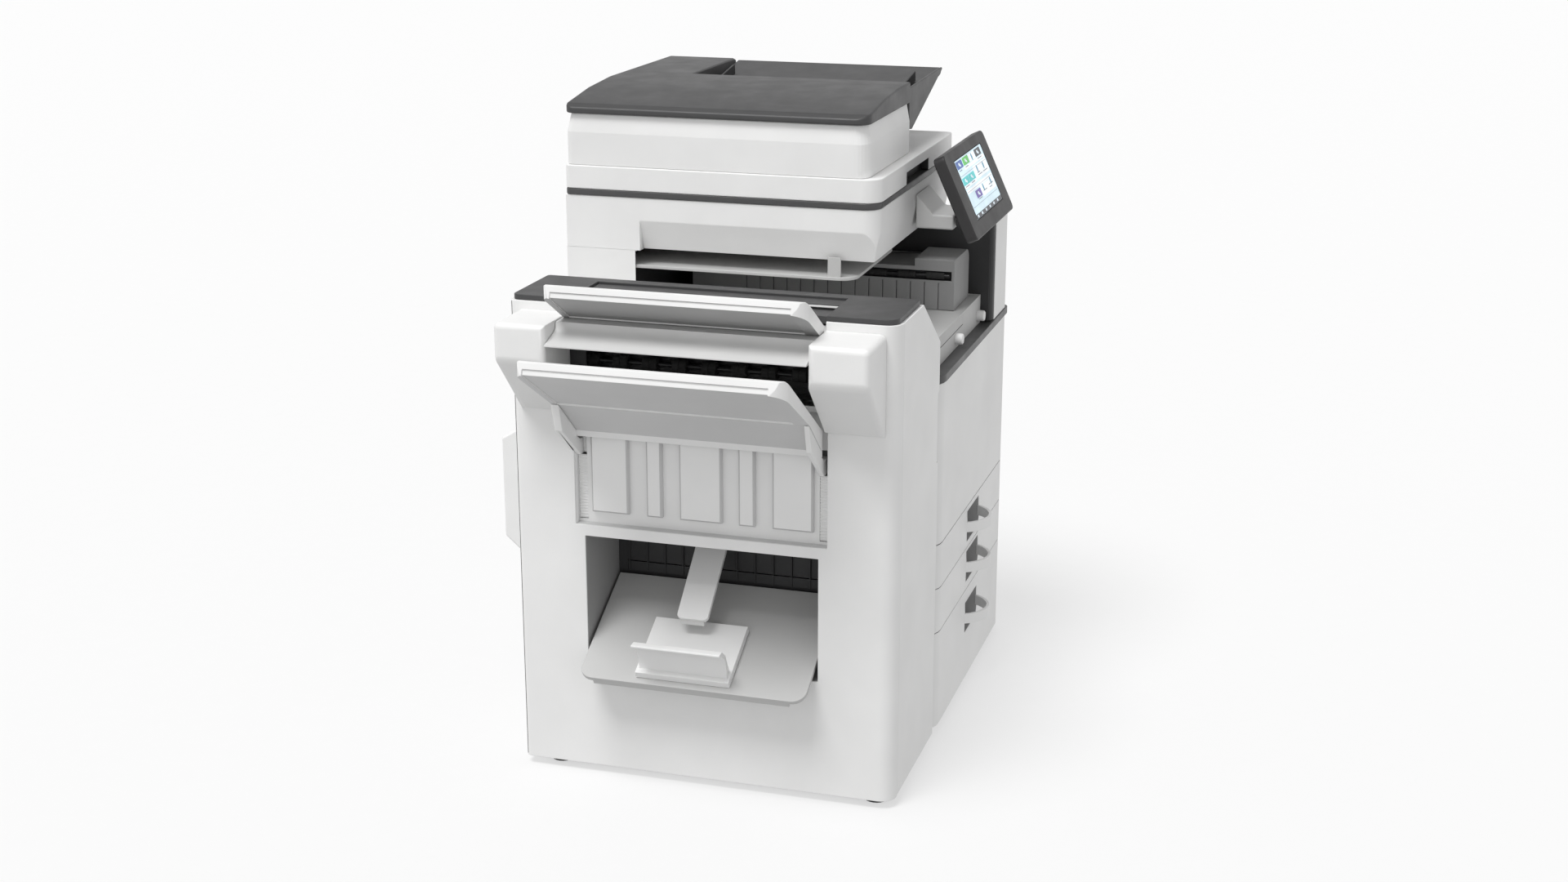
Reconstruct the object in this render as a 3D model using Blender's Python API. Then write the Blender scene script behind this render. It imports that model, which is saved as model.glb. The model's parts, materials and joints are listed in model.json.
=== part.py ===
"""Colour photocopier with a scanner and document feeder, three paper drawers and a booklet finisher.

Metres, +Z up, +Y to the rear.  Shapes are written in the machine's datum frame: x = 0 at the outer
face of the finisher, y = 0 at the front covers, z = 0 under the cabinets.  The empty "datum" carries
that frame to the world origin, which is on the floor under the middle of the whole machine.
"""
import math
import bpy
import bmesh
from mathutils import Matrix, Vector

GAP = 0.0003                 # clearance kept between touching parts
SKIN = 0.003                 # moulded cover thickness
FOOT = 0.015                 # height of the feet under the cabinets

# finisher cabinet
FIN_W, FIN_D, FIN_TOP = 0.301, 0.685, 0.845
FIN_CORNER = 0.028
SLOPE_X, SLOPE_LOW = 0.168, 0.750
DOOR_T = 0.029
DOOR_X = 0.0308
CAP_TOP = 0.8545
BAY_Y = (0.1245, 0.5755)     # width between the two tray shoulders
FENCE_Z = (0.4533, 0.6897)
WINDOW_Y, WINDOW_Z = (0.136, 0.557), (0.210, 0.433)
WINDOW_BACK = 0.160
TRAY_Y = (0.129, 0.5795)     # the tray is wider than the recess behind it
RECESS_Y = (0.1205, 0.5740)
GUSSET_Y = ((0.1290, 0.1380), (0.5655, 0.5732))
SLOT_Y = ((0.1232, 0.1390), (0.5575, 0.5737))
BOOKLET_SLOPE = math.radians(28.5)
BOOKLET_IN = Vector((0.150, 0.0, 0.314))
BOOKLET_LEN = 0.245
BOOKLET_Y = (0.142, 0.552)

# copier cabinet
COP_X0, COP_X1, COP_D = 0.305, 0.901, 0.702
FRONT_T = 0.045              # depth of the wrap-round fronts
FRONT_R, FRONT_R2 = 0.0445, 0.021
SPLITS = (0.188, 0.2745, 0.360)
BODY_TOP, BAND_TOP, BAND_X1 = 0.664, 0.679, 0.916
GRIP_X = (0.567, 0.673)
GRIP_Z = (0.130, 0.236, 0.318)
GRIP_OUT = 0.036
TOWER_Y = 0.570
CAVITY_BACK = 0.606
POST_X = (0.7455, 0.775)
BRIDGE_Y = (0.022, 0.545)
BRIDGE_SEAM, BRIDGE_TOP = 0.712, 0.735
EXIT_X = (0.590, 0.718)

# scanner, document feeder and panel
SCAN_Y, SCAN_LOW, SCAN_TOP = 0.117, 0.8763, 0.9725
SCAN_X1 = 0.886
CHAMFER_Z = 0.931
FRAME_TOP = 0.984
LID_TOP = 1.0265
FEED_X1, FEED_TOP = 0.611, 1.1190
FEED_Y = (0.137, 0.699)
STRIP_Y = 0.562
COVER_TOP = 1.158
GLASS_X, GLASS_Y = (0.345, 0.790), (0.190, 0.500)
PANEL_TILT = math.radians(24.4)
PANEL_W, PANEL_H, PANEL_T = 0.337, 0.165, 0.022
PANEL_MID = Vector((0.642, 0.0077, 0.9707))
PANEL_AXIS = Vector((0.642, 0.028, 0.905))

# extents that place the world origin under the middle of the machine
TRAY_TIP_X = -0.2215
FRONT_MOST, REAR_MOST = -GRIP_OUT, 0.722
DATUM = Vector((-(TRAY_TIP_X + BAND_X1) / 2, -(FRONT_MOST + REAR_MOST) / 2, FOOT))

COLOURS = {
    "white": ((0.80, 0.80, 0.79), 0.45, 0.0),
    "grey": ((0.42, 0.42, 0.42), 0.5, 0.0),
    "dark": ((0.12, 0.12, 0.12), 0.5, 0.0),
    "black": ((0.02, 0.02, 0.02), 0.4, 0.0),
    "rubber": ((0.03, 0.03, 0.03), 0.8, 0.0),
    "steel": ((0.60, 0.60, 0.60), 0.3, 1.0),
    "glass": ((0.75, 0.82, 0.82), 0.05, 0.0),
}


# ---------------------------------------------------------------- tools
def clear_scene():
    for obj in list(bpy.data.objects):
        bpy.data.objects.remove(obj, do_unlink=True)


def new_collection(name):
    coll = bpy.data.collections.new(name)
    bpy.context.scene.collection.children.link(coll)
    return coll


def finish(name, colour):
    base, rough, metal = COLOURS[colour]
    mat = bpy.data.materials.new(name + "_finish")
    mat.use_nodes = True
    shader = mat.node_tree.nodes["Principled BSDF"]
    shader.inputs["Base Color"].default_value = (*base, 1.0)
    shader.inputs["Roughness"].default_value = rough
    shader.inputs["Metallic"].default_value = metal
    mat.diffuse_color = (*base, 1.0)
    return mat


def mesh_object(name, bm, pivot=(0, 0, 0), rotation=None):
    """Object whose mesh was drawn in the datum frame, with its origin moved to the pivot."""
    turn = Matrix.Translation(Vector(pivot)) @ (rotation or Matrix.Identity(4))
    bmesh.ops.recalc_face_normals(bm, faces=bm.faces)
    mesh = bpy.data.meshes.new(name)
    if rotation is None:
        bmesh.ops.translate(bm, verts=bm.verts, vec=-Vector(pivot))
    bm.to_mesh(mesh)
    bm.free()
    obj = bpy.data.objects.new(name, mesh)
    obj.parent = datum
    obj.matrix_local = turn
    return obj


def part(obj, colour, smooth=False):
    parts.objects.link(obj)
    obj.data.materials.append(finish(obj.name, colour))
    if smooth:
        obj.data.shade_smooth()
        obj.data.set_sharp_from_angle(angle=math.radians(35))
    return obj


def cutter(obj):
    cutters.objects.link(obj)
    obj.hide_render = True
    obj.display_type = "WIRE"
    return obj


def boolean(target, tool, operation):
    mod = target.modifiers.new(operation.lower(), "BOOLEAN")
    mod.operation = operation
    mod.object = tool
    return target


def cut(target, *tools):
    for tool in tools:
        boolean(target, cutter(tool), "DIFFERENCE")
    return target


def join(target, *tools):
    for tool in tools:
        boolean(target, cutter(tool), "UNION")
    return target


def block_mesh(bm, low, high):
    low, high = Vector(low), Vector(high)
    size = high - low
    place = Matrix.Translation((low + high) / 2) @ Matrix.Diagonal((*size, 1.0))
    return bmesh.ops.create_cube(bm, size=1.0, matrix=place)["verts"]


def block(name, low, high, pivot=(0, 0, 0)):
    bm = bmesh.new()
    block_mesh(bm, low, high)
    return mesh_object(name, bm, pivot)


def rod(name, centre, radius, length, axis, sides=20, pivot=None):
    """Solid cylinder centred on a point, along X, Y or Z."""
    turn = {"X": Matrix.Rotation(math.pi / 2, 4, "Y"), "Y": Matrix.Rotation(math.pi / 2, 4, "X"),
            "Z": Matrix.Identity(4)}[axis]
    bm = bmesh.new()
    bmesh.ops.create_cone(bm, cap_ends=True, segments=sides, radius1=radius, radius2=radius,
                          depth=length, matrix=Matrix.Translation(centre) @ turn)
    return mesh_object(name, bm, centre if pivot is None else pivot)


def rounded(points, radii, steps=6):
    """Outline with each corner replaced by an arc of the given radius."""
    out = []
    count = len(points)
    for i, (point, radius) in enumerate(zip(points, radii)):
        corner = Vector(point)
        if not radius:
            out.append(corner)
            continue
        back = (Vector(points[i - 1]) - corner).normalized()
        ahead = (Vector(points[(i + 1) % count]) - corner).normalized()
        half = back.angle(ahead) / 2
        centre = corner + (back + ahead).normalized() * radius / math.sin(half)
        start = corner + back * radius / math.tan(half) - centre
        end = corner + ahead * radius / math.tan(half) - centre
        sweep = math.atan2(start.x * end.y - start.y * end.x, start.dot(end))
        for k in range(steps + 1):
            angle = sweep * k / steps
            turned = Vector((start.x * math.cos(angle) - start.y * math.sin(angle),
                             start.x * math.sin(angle) + start.y * math.cos(angle)))
            out.append(centre + turned)
    return out


def outline_mesh(points, depth):
    """Flat outline given thickness: a filled 2D curve, extruded, with its caps welded on."""
    curve = bpy.data.curves.new("outline", "CURVE")
    curve.dimensions = "2D"
    curve.fill_mode = "BOTH"
    curve.extrude = depth / 2
    spline = curve.splines.new("POLY")
    spline.points.add(len(points) - 1)
    for slot, point in zip(spline.points, points):
        slot.co = (point[0], point[1], 0.0, 1.0)
    spline.use_cyclic_u = True
    holder = bpy.data.objects.new("outline", curve)
    bpy.context.scene.collection.objects.link(holder)
    bpy.context.view_layer.update()
    evaluated = holder.evaluated_get(bpy.context.evaluated_depsgraph_get())
    mesh = bpy.data.meshes.new_from_object(evaluated)
    bm = bmesh.new()
    bm.from_mesh(mesh)
    bmesh.ops.remove_doubles(bm, verts=bm.verts, dist=1e-6)
    bpy.data.objects.remove(holder)
    bpy.data.curves.remove(curve)
    bpy.data.meshes.remove(mesh)
    return bm


SIDE_TURN = {
    "Y": Matrix(((1, 0, 0, 0), (0, 0, -1, 0), (0, 1, 0, 0), (0, 0, 0, 1))),    # outline in x, z
    "X": Matrix(((0, 0, 1, 0), (1, 0, 0, 0), (0, 1, 0, 0), (0, 0, 0, 1))),     # outline in y, z
    "Z": Matrix.Identity(4),                                                  # outline in x, y
}


def prism(name, points, axis, low, high, pivot=(0, 0, 0)):
    """Outline extruded along a datum axis between two coordinates."""
    bm = outline_mesh(points, high - low)
    shift = Vector((0, 0, 0))
    shift["XYZ".index(axis)] = (low + high) / 2
    bmesh.ops.transform(bm, verts=bm.verts, matrix=Matrix.Translation(shift) @ SIDE_TURN[axis])
    return mesh_object(name, bm, pivot)


# ---------------------------------------------------------------- finisher
def finisher_profile(inset, left=0.0):
    """Front elevation of the finisher: square with a sloped upper right shoulder."""
    return [(left + inset, inset), (FIN_W - inset, inset), (FIN_W - inset, SLOPE_LOW - inset / 2),
            (SLOPE_X - inset / 3, FIN_TOP - inset), (left + inset, FIN_TOP - inset)]


def make_finisher_shell():
    plan = rounded([(0, 0), (FIN_W, 0), (FIN_W, FIN_D), (0, FIN_D)], [FIN_CORNER, 0, 0.004, 0.012])
    shell = part(prism("finisher_shell", plan, "Z", 0.0, FIN_TOP), "white")
    over = 0.01
    wedge = [(SLOPE_X, FIN_TOP + 1e-4), (FIN_W + over, SLOPE_LOW - over * 0.72),
             (FIN_W + over, FIN_TOP + 0.1), (SLOPE_X, FIN_TOP + 0.1)]
    cut(shell, prism("cut_slope", wedge, "Y", -over, FIN_D + over),
        prism("cut_cavity", finisher_profile(SKIN, DOOR_X), "Y", -over, FIN_D - SKIN),
        block("cut_cavity_left", (SKIN, DOOR_T + 0.002, SKIN), (0.04, FIN_D - SKIN, FIN_TOP - SKIN)),
        block("cut_front", (DOOR_X - GAP, -over, -over), (FIN_W + over, DOOR_T + GAP, FIN_TOP + over)))
    cut(shell,
        block("cut_fence", (-over, RECESS_Y[0] + GAP, FENCE_Z[0]), (0.02, RECESS_Y[1] - GAP, FENCE_Z[1])),
        block("cut_exit", (-over, 0.130, 0.700), (0.02, 0.560, FIN_TOP - 0.02)),
        block("cut_window", (-over, WINDOW_Y[0], WINDOW_Z[0]), (0.02, WINDOW_Y[1], WINDOW_Z[1])),
        block("cut_top", (-over, BAY_Y[0], 0.8), (0.140, BAY_Y[1], FIN_TOP + over)),
        block("cut_entry", (FIN_W - 0.02, 0.14, 0.69), (FIN_W + over, 0.56, 0.715)))
    join(shell, block("shelf", (0.050, 0.034, 0.590), (0.125, FIN_D - 0.001, 0.593)))


def make_finisher_base():
    """Chassis plate with four levelling feet."""
    base = part(block("finisher_base", (0.030, 0.025, -0.005), (0.271, 0.645, -GAP)), "rubber")
    for i, x in enumerate((0.045, 0.256)):
        for k, y in enumerate((0.041, 0.629)):
            join(base, rod(f"pad_{i}{k}", (x, y, -0.010), 0.0215, 0.010, "Z", 20))


def make_finisher_door():
    """Front cover, hinged at its left edge, with a finger notch in the right one."""
    inner = finisher_profile(0.004, DOOR_X)
    outer = finisher_profile(0.0, DOOR_X)
    outer = [(x if x < 0.2 else FIN_W - 0.001, max(z - 0.0005, 0.002)) for x, z in outer]
    inner = [(min(x, 0.284), z - 0.0005 if z > 0.1 else z) for x, z in inner]
    inner[2] = (0.284, SLOPE_LOW)
    door = part(prism("finisher_door", outer, "Y", 0.0, DOOR_T, (DOOR_X + 0.0001, 0.0, 0.42)), "white")
    cut(door, prism("cut_door", inner, "Y", 0.004, 0.05),
        block("cut_notch", (0.2895, -0.01, 0.529), (0.32, 0.022, 0.657)))


def make_shoulders():
    """Covers either side of the trays, which hold the tray lift's outer guides."""
    side = [(-0.110, 0.831), (-GAP, 0.831), (-GAP, 0.656), (-0.006, 0.659), (-0.110, 0.765)]
    hollow = [(-0.106, 0.827), (0.01, 0.827), (0.01, 0.662), (-0.006, 0.664), (-0.106, 0.767)]
    for name, low, high in (("shoulder_front", 0.022, 0.1243), ("shoulder_rear", 0.5757, 0.668)):
        ear = part(prism(name, rounded(side, [0.010, 0, 0, 0.003, 0.012], 4), "Y", low, high), "white")
        cut(ear, prism("cut_" + name, hollow, "Y", low + 0.004, high - 0.004))


def make_exit_guide():
    """Beam and lip over the paper exit, running back as the floor of the top tray's channel."""
    side = [(-0.113, 0.797), (-0.113, 0.7995), (-0.060, 0.815), (-0.060, 0.828), (0.003, 0.828),
            (0.1395, 0.820), (0.1395, 0.816), (-0.054, 0.822), (-0.054, 0.797)]
    part(prism("exit_guide", side, "Y", BAY_Y[0] + 0.0006, BAY_Y[1] - 0.0006), "white")


def make_top_cover():
    plan = rounded([(0.003, 0.005), (0.162, 0.005), (0.162, 0.680), (0.003, 0.680)],
                   [0.020, 0.006, 0.006, 0.012])
    cover = part(prism("top_cover", plan, "Z", FIN_TOP + GAP, CAP_TOP), "dark")
    cut(cover, block("cut_channel", (-0.01, BAY_Y[0], 0.8), (0.1375, BAY_Y[1], 0.9)))


def tray_plate(name, side, low, high, near_radius, far_radius, pivot, clearance=()):
    """Bent tray: a side outline across its width, with the outer corners rounded in plan."""
    tray = part(prism(name, side, "Y", low, high, pivot), "white")
    tip = min(x for x, z in side)
    inner = list(clearance) or [(0.05, high)]
    plan = rounded([(tip, low), (0.05, low), *inner, (tip, high)], [near_radius, 0] + [0] * len(inner) + [far_radius])
    keep = cutter(prism("keep_" + name, plan, "Z", 0.5, 1.0))
    return boolean(tray, keep, "INTERSECT")


def make_proof_tray():
    side = [(-0.002, 0.8285), (-0.030, 0.8285), (-0.1165, 0.880), (-0.109, 0.900), (-0.101, 0.900),
            (-0.002, 0.838)]
    tray_plate("proof_tray", side, BAY_Y[0] + 0.002, BAY_Y[1] - 0.002, 0.028, 0.010, (0, 0, 0))


def make_shift_tray():
    side = [(-0.0015, 0.6145), (-0.0045, 0.6145), (-0.0045, 0.6255), (-0.077, 0.689), (-0.2215, 0.7755),
            (-0.2135, 0.797), (-0.205, 0.797), (-0.0015, 0.660)]
    tray_plate("shift_tray", side, *TRAY_Y, 0.030, 0.012, (0, 0.346, 0.62),
               [(0.05, 0.5740), (-0.030, 0.5740), (-0.038, TRAY_Y[1])])


def make_tray_carriage():
    """Two gussets under the shift tray, joined behind the fence by the lift's cross bar."""
    side = [(-0.0775, 0.6884), (-0.082, 0.6910), (-0.067, 0.6404), (0.0115, 0.5764), (0.0370, 0.5764),
            (0.0370, 0.6054), (0.0115, 0.6054), (-0.0020, 0.6140), (-0.0048, 0.6140), (-0.0048, 0.6250)]
    front, rear = GUSSET_Y
    carriage = part(prism("tray_carriage", side, "Y", *front, (0, 0.346, 0.62)), "grey")
    thick = [(-0.0775, 0.6884), (-0.082, 0.6910), (-0.067, 0.6404), (-0.0048, 0.5897), (-0.0048, 0.6250)]
    join(carriage, prism("gusset_rear", side, "Y", *rear),
         prism("gusset_rear_edge", thick, "Y", rear[0] + 0.001, TRAY_Y[1]),
         block("cross_bar", (0.027, front[0], 0.5764), (0.0375, rear[1], 0.6054)))


def make_stack_fence():
    """Recessed back wall of the shift tray: raised pads, and a slot each side for the tray lift."""
    low, high = RECESS_Y
    fence = part(block("stack_fence", (SKIN + GAP, low - SKIN, FENCE_Z[0] - SKIN),
                       (0.0225, high + SKIN, FENCE_Z[1] + SKIN)), "white")
    cut(fence, block("cut_tray", (-0.01, low, FENCE_Z[0]), (0.0195, high, FENCE_Z[1])))
    for i, (y0, y1) in enumerate(((0.148, 0.220), (0.251, 0.280), (0.310, 0.386), (0.418, 0.446),
                                  (0.479, 0.547))):
        join(fence, block(f"pad_{i}", (0.009, y0, 0.475), (0.021, y1, 0.660)))
    for i, (y0, y1) in enumerate(SLOT_Y):
        cut(fence, block(f"slot_{i}", (0.0, y0, 0.458), (0.03, y1, 0.620)))


def make_booklet_bay():
    """Lined opening for folded booklets: ribbed back wall, exit slot and lugs for the press arm."""
    low = (SKIN + GAP, WINDOW_Y[0] - SKIN, WINDOW_Z[0] - SKIN)
    high = (WINDOW_BACK + SKIN, WINDOW_Y[1] + SKIN, WINDOW_Z[1] + SKIN)
    bay = part(block("booklet_bay", low, high), "grey")
    cut(bay, block("cut_bay", (-0.01, WINDOW_Y[0], WINDOW_Z[0]), (WINDOW_BACK, WINDOW_Y[1], WINDOW_Z[1])),
        block("cut_slot", (0.15, 0.155, 0.317), (0.18, 0.540, 0.335)))
    for i in range(12):
        y = 0.160 + 0.034 * i
        join(bay, block(f"rib_{i}", (0.156, y, 0.336), (0.1605, y + 0.003, 0.434)))
    for i, y in enumerate((0.3265, 0.4025)):
        join(bay, block(f"lug_{i}", (0.130, y, 0.398), (0.150, y + 0.005, 0.434)))


def booklet_frame():
    """Frame with x down the booklet tray, y across it and z up out of its surface."""
    down = Vector((-math.cos(BOOKLET_SLOPE), 0, -math.sin(BOOKLET_SLOPE)))
    across = Vector((0, -1, 0))
    up = down.cross(across)
    turn = Matrix((down, across, up)).transposed().to_4x4()
    return Matrix.Translation(BOOKLET_IN) @ turn


def sloped_block(name, low, high):
    """Block drawn in the booklet tray's frame; y is the datum y."""
    bm = bmesh.new()
    block_mesh(bm, (low[0], -high[1], low[2]), (high[0], -low[1], high[2]))
    bmesh.ops.transform(bm, verts=bm.verts, matrix=booklet_frame())
    return mesh_object(name, bm)


def make_booklet_tray():
    y0, y1 = BOOKLET_Y
    plan = rounded([(0, -y1), (0, -y0), (BOOKLET_LEN, -y0), (BOOKLET_LEN, -y1)], [0, 0, 0.025, 0.025])
    bm = outline_mesh(plan, 0.008)
    bmesh.ops.transform(bm, verts=bm.verts, matrix=booklet_frame() @ Matrix.Translation((0, 0, -0.004)))
    tray = part(mesh_object("booklet_tray", bm), "white")
    join(tray, sloped_block("lip", (BOOKLET_LEN - 0.004, y0 + 0.027, -0.016), (BOOKLET_LEN, y1 - 0.027, -0.004)),
         sloped_block("hem", (0.03, y0 + 0.02, -0.014), (0.034, y1 - 0.02, -0.006)))


def make_booklet_stopper():
    """Sliding plate on the booklet tray with an upright, outward-curved stop."""
    start, end = 0.105, 0.233
    y0, y1 = 0.277, 0.447
    stopper = part(sloped_block("booklet_stopper", (start, y0, GAP), (end, y1, 0.014)), "white")
    outline = [(end - 0.010, 0.0135), (end - 0.017, 0.034), (end - 0.017, 0.056), (end - 0.009, 0.074),
               (end - 0.001, 0.080), (end - 0.003, 0.083), (end - 0.016, 0.077), (end - 0.025, 0.057),
               (end - 0.026, 0.034), (end - 0.027, 0.0135)]
    bm = outline_mesh(outline, y1 - y0 - 0.010)
    turn = booklet_frame() @ Matrix.Translation((0, -(y0 + y1) / 2, 0)) @ SIDE_TURN["Y"]
    bmesh.ops.transform(bm, verts=bm.verts, matrix=turn)
    join(stopper, mesh_object("stop", bm))


def make_press_arm():
    """Hinged arm that holds booklets down as they leave the slot."""
    pivot = Vector((0.140, 0.3665, 0.406))
    tip = Vector((0.012, 0.3665, 0.293))
    reach = (pivot - tip).xz
    along = reach.normalized()
    normal = Vector((-along.y, along.x)) * 0.003
    a, b = Vector((tip.x, tip.z)), Vector((pivot.x, pivot.z))
    side = [a - normal, b - normal, b + normal, a + normal]
    arm = part(prism("press_arm", side, "Y", 0.338, 0.395, pivot), "white")
    join(arm, rod("barrel", pivot, 0.007, 0.069, "Y", 16),
         block("foot", (0.013, 0.345, 0.283), (0.023, 0.388, 0.296)))


def make_rollers():
    """Driven rollers: eject roller of the finisher and pickup roller of the document feeder."""
    for name, x, z, y0, y1, rings, radius in (
            ("eject_roller", 0.034, 0.742, 0.045, 0.680, 6, 0.012),
            ("pickup_roller", 0.565, 1.092, 0.250, 0.560, 3, 0.014)):
        middle = Vector((x, (y0 + y1) / 2, z))
        shaft = part(rod(name, middle, 0.004, y1 - y0, "Y", 12), "black")
        span = (y1 - y0) / rings
        for i in range(rings):
            join(shaft, rod(f"{name}_{i}", (x, y0 + span * (i + 0.5), z), radius, span * 0.45, "Y", 16))


def make_stapler():
    unit = part(block("stapler", (0.055, 0.300, 0.593 + GAP), (0.120, 0.370, 0.650), (0.087, 0.335, 0.594)), "grey")
    cut(unit, block("cut_jaw", (0.050, 0.290, 0.622), (0.085, 0.380, 0.634)))


def make_finisher_back():
    side = [(FIN_D + GAP, 0.375), (REAR_MOST, 0.407), (REAR_MOST, 0.588), (FIN_D + GAP, 0.610)]
    part(prism("finisher_rear_cover", side, "X", 0.030, 0.270), "white")


# ---------------------------------------------------------------- copier cabinet
def front_plan(inset):
    """Plan of the wrap-round copier fronts."""
    x0, x1 = COP_X0 + inset, COP_X1 - inset
    return rounded([(x0, inset), (x1, inset), (x1, FRONT_T), (x0, FRONT_T)],
                   [FRONT_R - inset, FRONT_R2 - inset, 0, 0])


def make_copier_shell():
    shell = part(block("copier_shell", (COP_X0, FRONT_T + 0.0005, 0.0), (COP_X1, COP_D, BODY_TOP)), "white")
    x0, x1, back = COP_X0 + SKIN, COP_X1 - SKIN, COP_D - SKIN
    cut(shell, block("cut_engine", (x0, 0.0, SPLITS[2] + 0.002), (x1, back, BODY_TOP - 0.006)),
        block("cut_drawers", (x0, 0.0, 0.004), (x1, back, SPLITS[2] - 0.002)))


def make_copier_base():
    base = part(block("copier_base", (0.330, 0.060, -0.007), (0.876, 0.680, -GAP)), "rubber")
    for i, x in enumerate((0.365, 0.841)):
        for k, y in enumerate((0.095, 0.645)):
            join(base, rod(f"foot_{i}{k}", (x, y, -0.010), 0.022, 0.010, "Z", 20))


def make_front_door():
    pivot = (COP_X1, FRONT_T + 0.0002, 0.51)
    door = part(prism("front_door", front_plan(0.0), "Z", SPLITS[2] + 0.0008, BODY_TOP - 0.0005, pivot), "white")
    plan = front_plan(0.0035)
    plan = [(x, y + (0.01 if y > 0.04 else 0)) for x, y in plan]
    cut(door, prism("cut_front_door", plan, "Z", SPLITS[2] + 0.004, BODY_TOP - 0.004))


def crescent(bulge, thickness, x0, x1, steps=12):
    """Plan of a bowed strap between two points on the front plane."""
    half = (x1 - x0) / 2
    radius = (half * half + bulge * bulge) / (2 * bulge)
    middle, centre_y = (x0 + x1) / 2, radius - bulge
    sweep = math.asin(min(1.0, half / radius))
    outer, inner = [], []
    for k in range(steps + 1):
        angle = -sweep + 2 * sweep * k / steps
        outer.append((middle + radius * math.sin(angle), centre_y - radius * math.cos(angle)))
        inner.append((middle + (radius - thickness) * math.sin(angle),
                      centre_y - (radius - thickness) * math.cos(angle)))
    return outer + inner[::-1]


def make_drawer(number, low, high, grip_z):
    """Paper drawer: a front with a recessed bow grip, and the open tray behind it."""
    mid = (0.603, 0.0, (low + high) / 2)
    front = part(prism(f"drawer_{number}_front", front_plan(0.0), "Z", low + 0.0007, high - 0.0007, mid), "white")
    cut(front, block(f"cut_back_{number}", (0.36, 0.028, low + 0.008), (0.86, 0.06, high - 0.008)),
        block(f"cut_grip_{number}", (GRIP_X[0], -0.01, grip_z - 0.031), (GRIP_X[1], 0.024, grip_z + 0.031)))
    strap = crescent(GRIP_OUT, 0.006, GRIP_X[0] - 0.004, GRIP_X[1] + 0.004)
    strap = [(x, max(y, -GRIP_OUT)) for x, y in strap]
    join(front, prism(f"grip_{number}", strap, "Z", grip_z - 0.010, grip_z + 0.010))
    floor, rim = low + 0.006, high - 0.010
    tray = part(block(f"drawer_{number}_tray", (0.330, FRONT_T + GAP, floor), (0.876, 0.640, rim), mid), "grey")
    cut(tray, block(f"cut_tray_{number}", (0.333, FRONT_T + 0.004, floor + 0.003), (0.873, 0.637, rim + 0.02)))


def make_drawers():
    edges = (0.0, *SPLITS)
    for number, grip_z in zip((3, 2, 1), GRIP_Z):
        make_drawer(number, edges[3 - number], edges[4 - number], grip_z)


def make_band():
    """Dark trim plate between the cabinet and the paper exit bay."""
    plan = rounded([(COP_X0, -0.002), (BAND_X1, -0.002), (BAND_X1, COP_D), (COP_X0, COP_D)],
                   [0.046, 0.020, 0.006, 0.0])
    band = part(prism("trim_band", plan, "Z", BODY_TOP + GAP, BAND_TOP), "dark")
    cut(band, block("cut_band", (0.33, 0.06, 0.66), (0.72, 0.64, 0.674)))


def make_engine():
    """Inner front plate with the toner cartridges behind the front door."""
    plate = part(block("inner_panel", (COP_X0 + 0.006, 0.052, 0.366), (COP_X1 - 0.006, 0.056, 0.655)), "grey")
    for i in range(4):
        centre = Vector((0.400 + 0.098 * i, 0.230, 0.590))
        bottle = part(rod(f"toner_cartridge_{i + 1}", centre, 0.036, 0.350, "Y", 20), "black")
        cut(plate, rod(f"bay_{i}", centre - Vector((0, 0.18, 0)), 0.0375, 0.04, "Y", 20))
        join(bottle, block(f"tab_{i}", (centre.x - 0.006, 0.046, centre.z - 0.025),
                           (centre.x + 0.006, 0.060, centre.z + 0.025)))
    cut(plate, block("cut_unit", (0.360, 0.04, 0.400), (0.740, 0.06, 0.520)),
        block("cut_switch", (0.835, 0.04, 0.585), (0.865, 0.06, 0.615)))
    part(block("power_switch", (0.838, 0.0485, 0.589), (0.862, 0.0580, 0.611), (0.850, 0.055, 0.600)), "black")


def make_bypass_tray():
    tray = part(block("bypass_tray", (COP_X1 + 0.0005, 0.210, 0.400), (BAND_X1 - 0.001, 0.540, 0.600),
                      (COP_X1 + 0.0045, 0.375, 0.4015)), "white")
    cut(tray, block("cut_bypass", (COP_X1 - 0.01, 0.215, 0.412), (COP_X1 + 0.009, 0.535, 0.596)),
        block("cut_pull", (BAND_X1 - 0.006, 0.345, 0.580), (BAND_X1 + 0.01, 0.405, 0.61)))


def make_exit_bay():
    """Rear tower, dark lining, right column and the rounded dark post in front of the lining."""
    low, high = BAND_TOP + GAP, SCAN_LOW - GAP
    tower = part(block("tower_cover", (COP_X0, TOWER_Y, low), (COP_X1, COP_D, high)), "white")
    cut(tower, block("cut_tower", (COP_X0 + SKIN, 0.5, low + SKIN), (COP_X1 - SKIN, COP_D - SKIN, high - SKIN)))
    low, high = low + SKIN + GAP, high - SKIN - GAP
    liner = part(block("bay_liner", (COP_X0 + SKIN + GAP, CAVITY_BACK, low), (0.748, CAVITY_BACK + SKIN, high)), "dark")
    join(liner, block("liner_side", (POST_X[0], 0.006, low), (0.748, CAVITY_BACK + SKIN, high)),
         prism("post", rounded([(POST_X[0], 0.0), (POST_X[1] - 0.004, 0.0), (POST_X[1] - 0.004, 0.022),
                                (POST_X[0], 0.022)], [0.014, 0.002, 0, 0]), "Z", low, high))
    plan = rounded([(POST_X[1], 0.0), (COP_X1, 0.0), (COP_X1, TOWER_Y - GAP), (POST_X[1], TOWER_Y - GAP)],
                   [0.0, 0.021, 0, 0])
    column = part(prism("column_cover", plan, "Z", BAND_TOP + GAP, SCAN_LOW - GAP), "white")
    cut(column, block("cut_column", (POST_X[1] + SKIN, 0.02, 0.60), (COP_X1 - SKIN, 0.55, SCAN_LOW - 0.004)))


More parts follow.
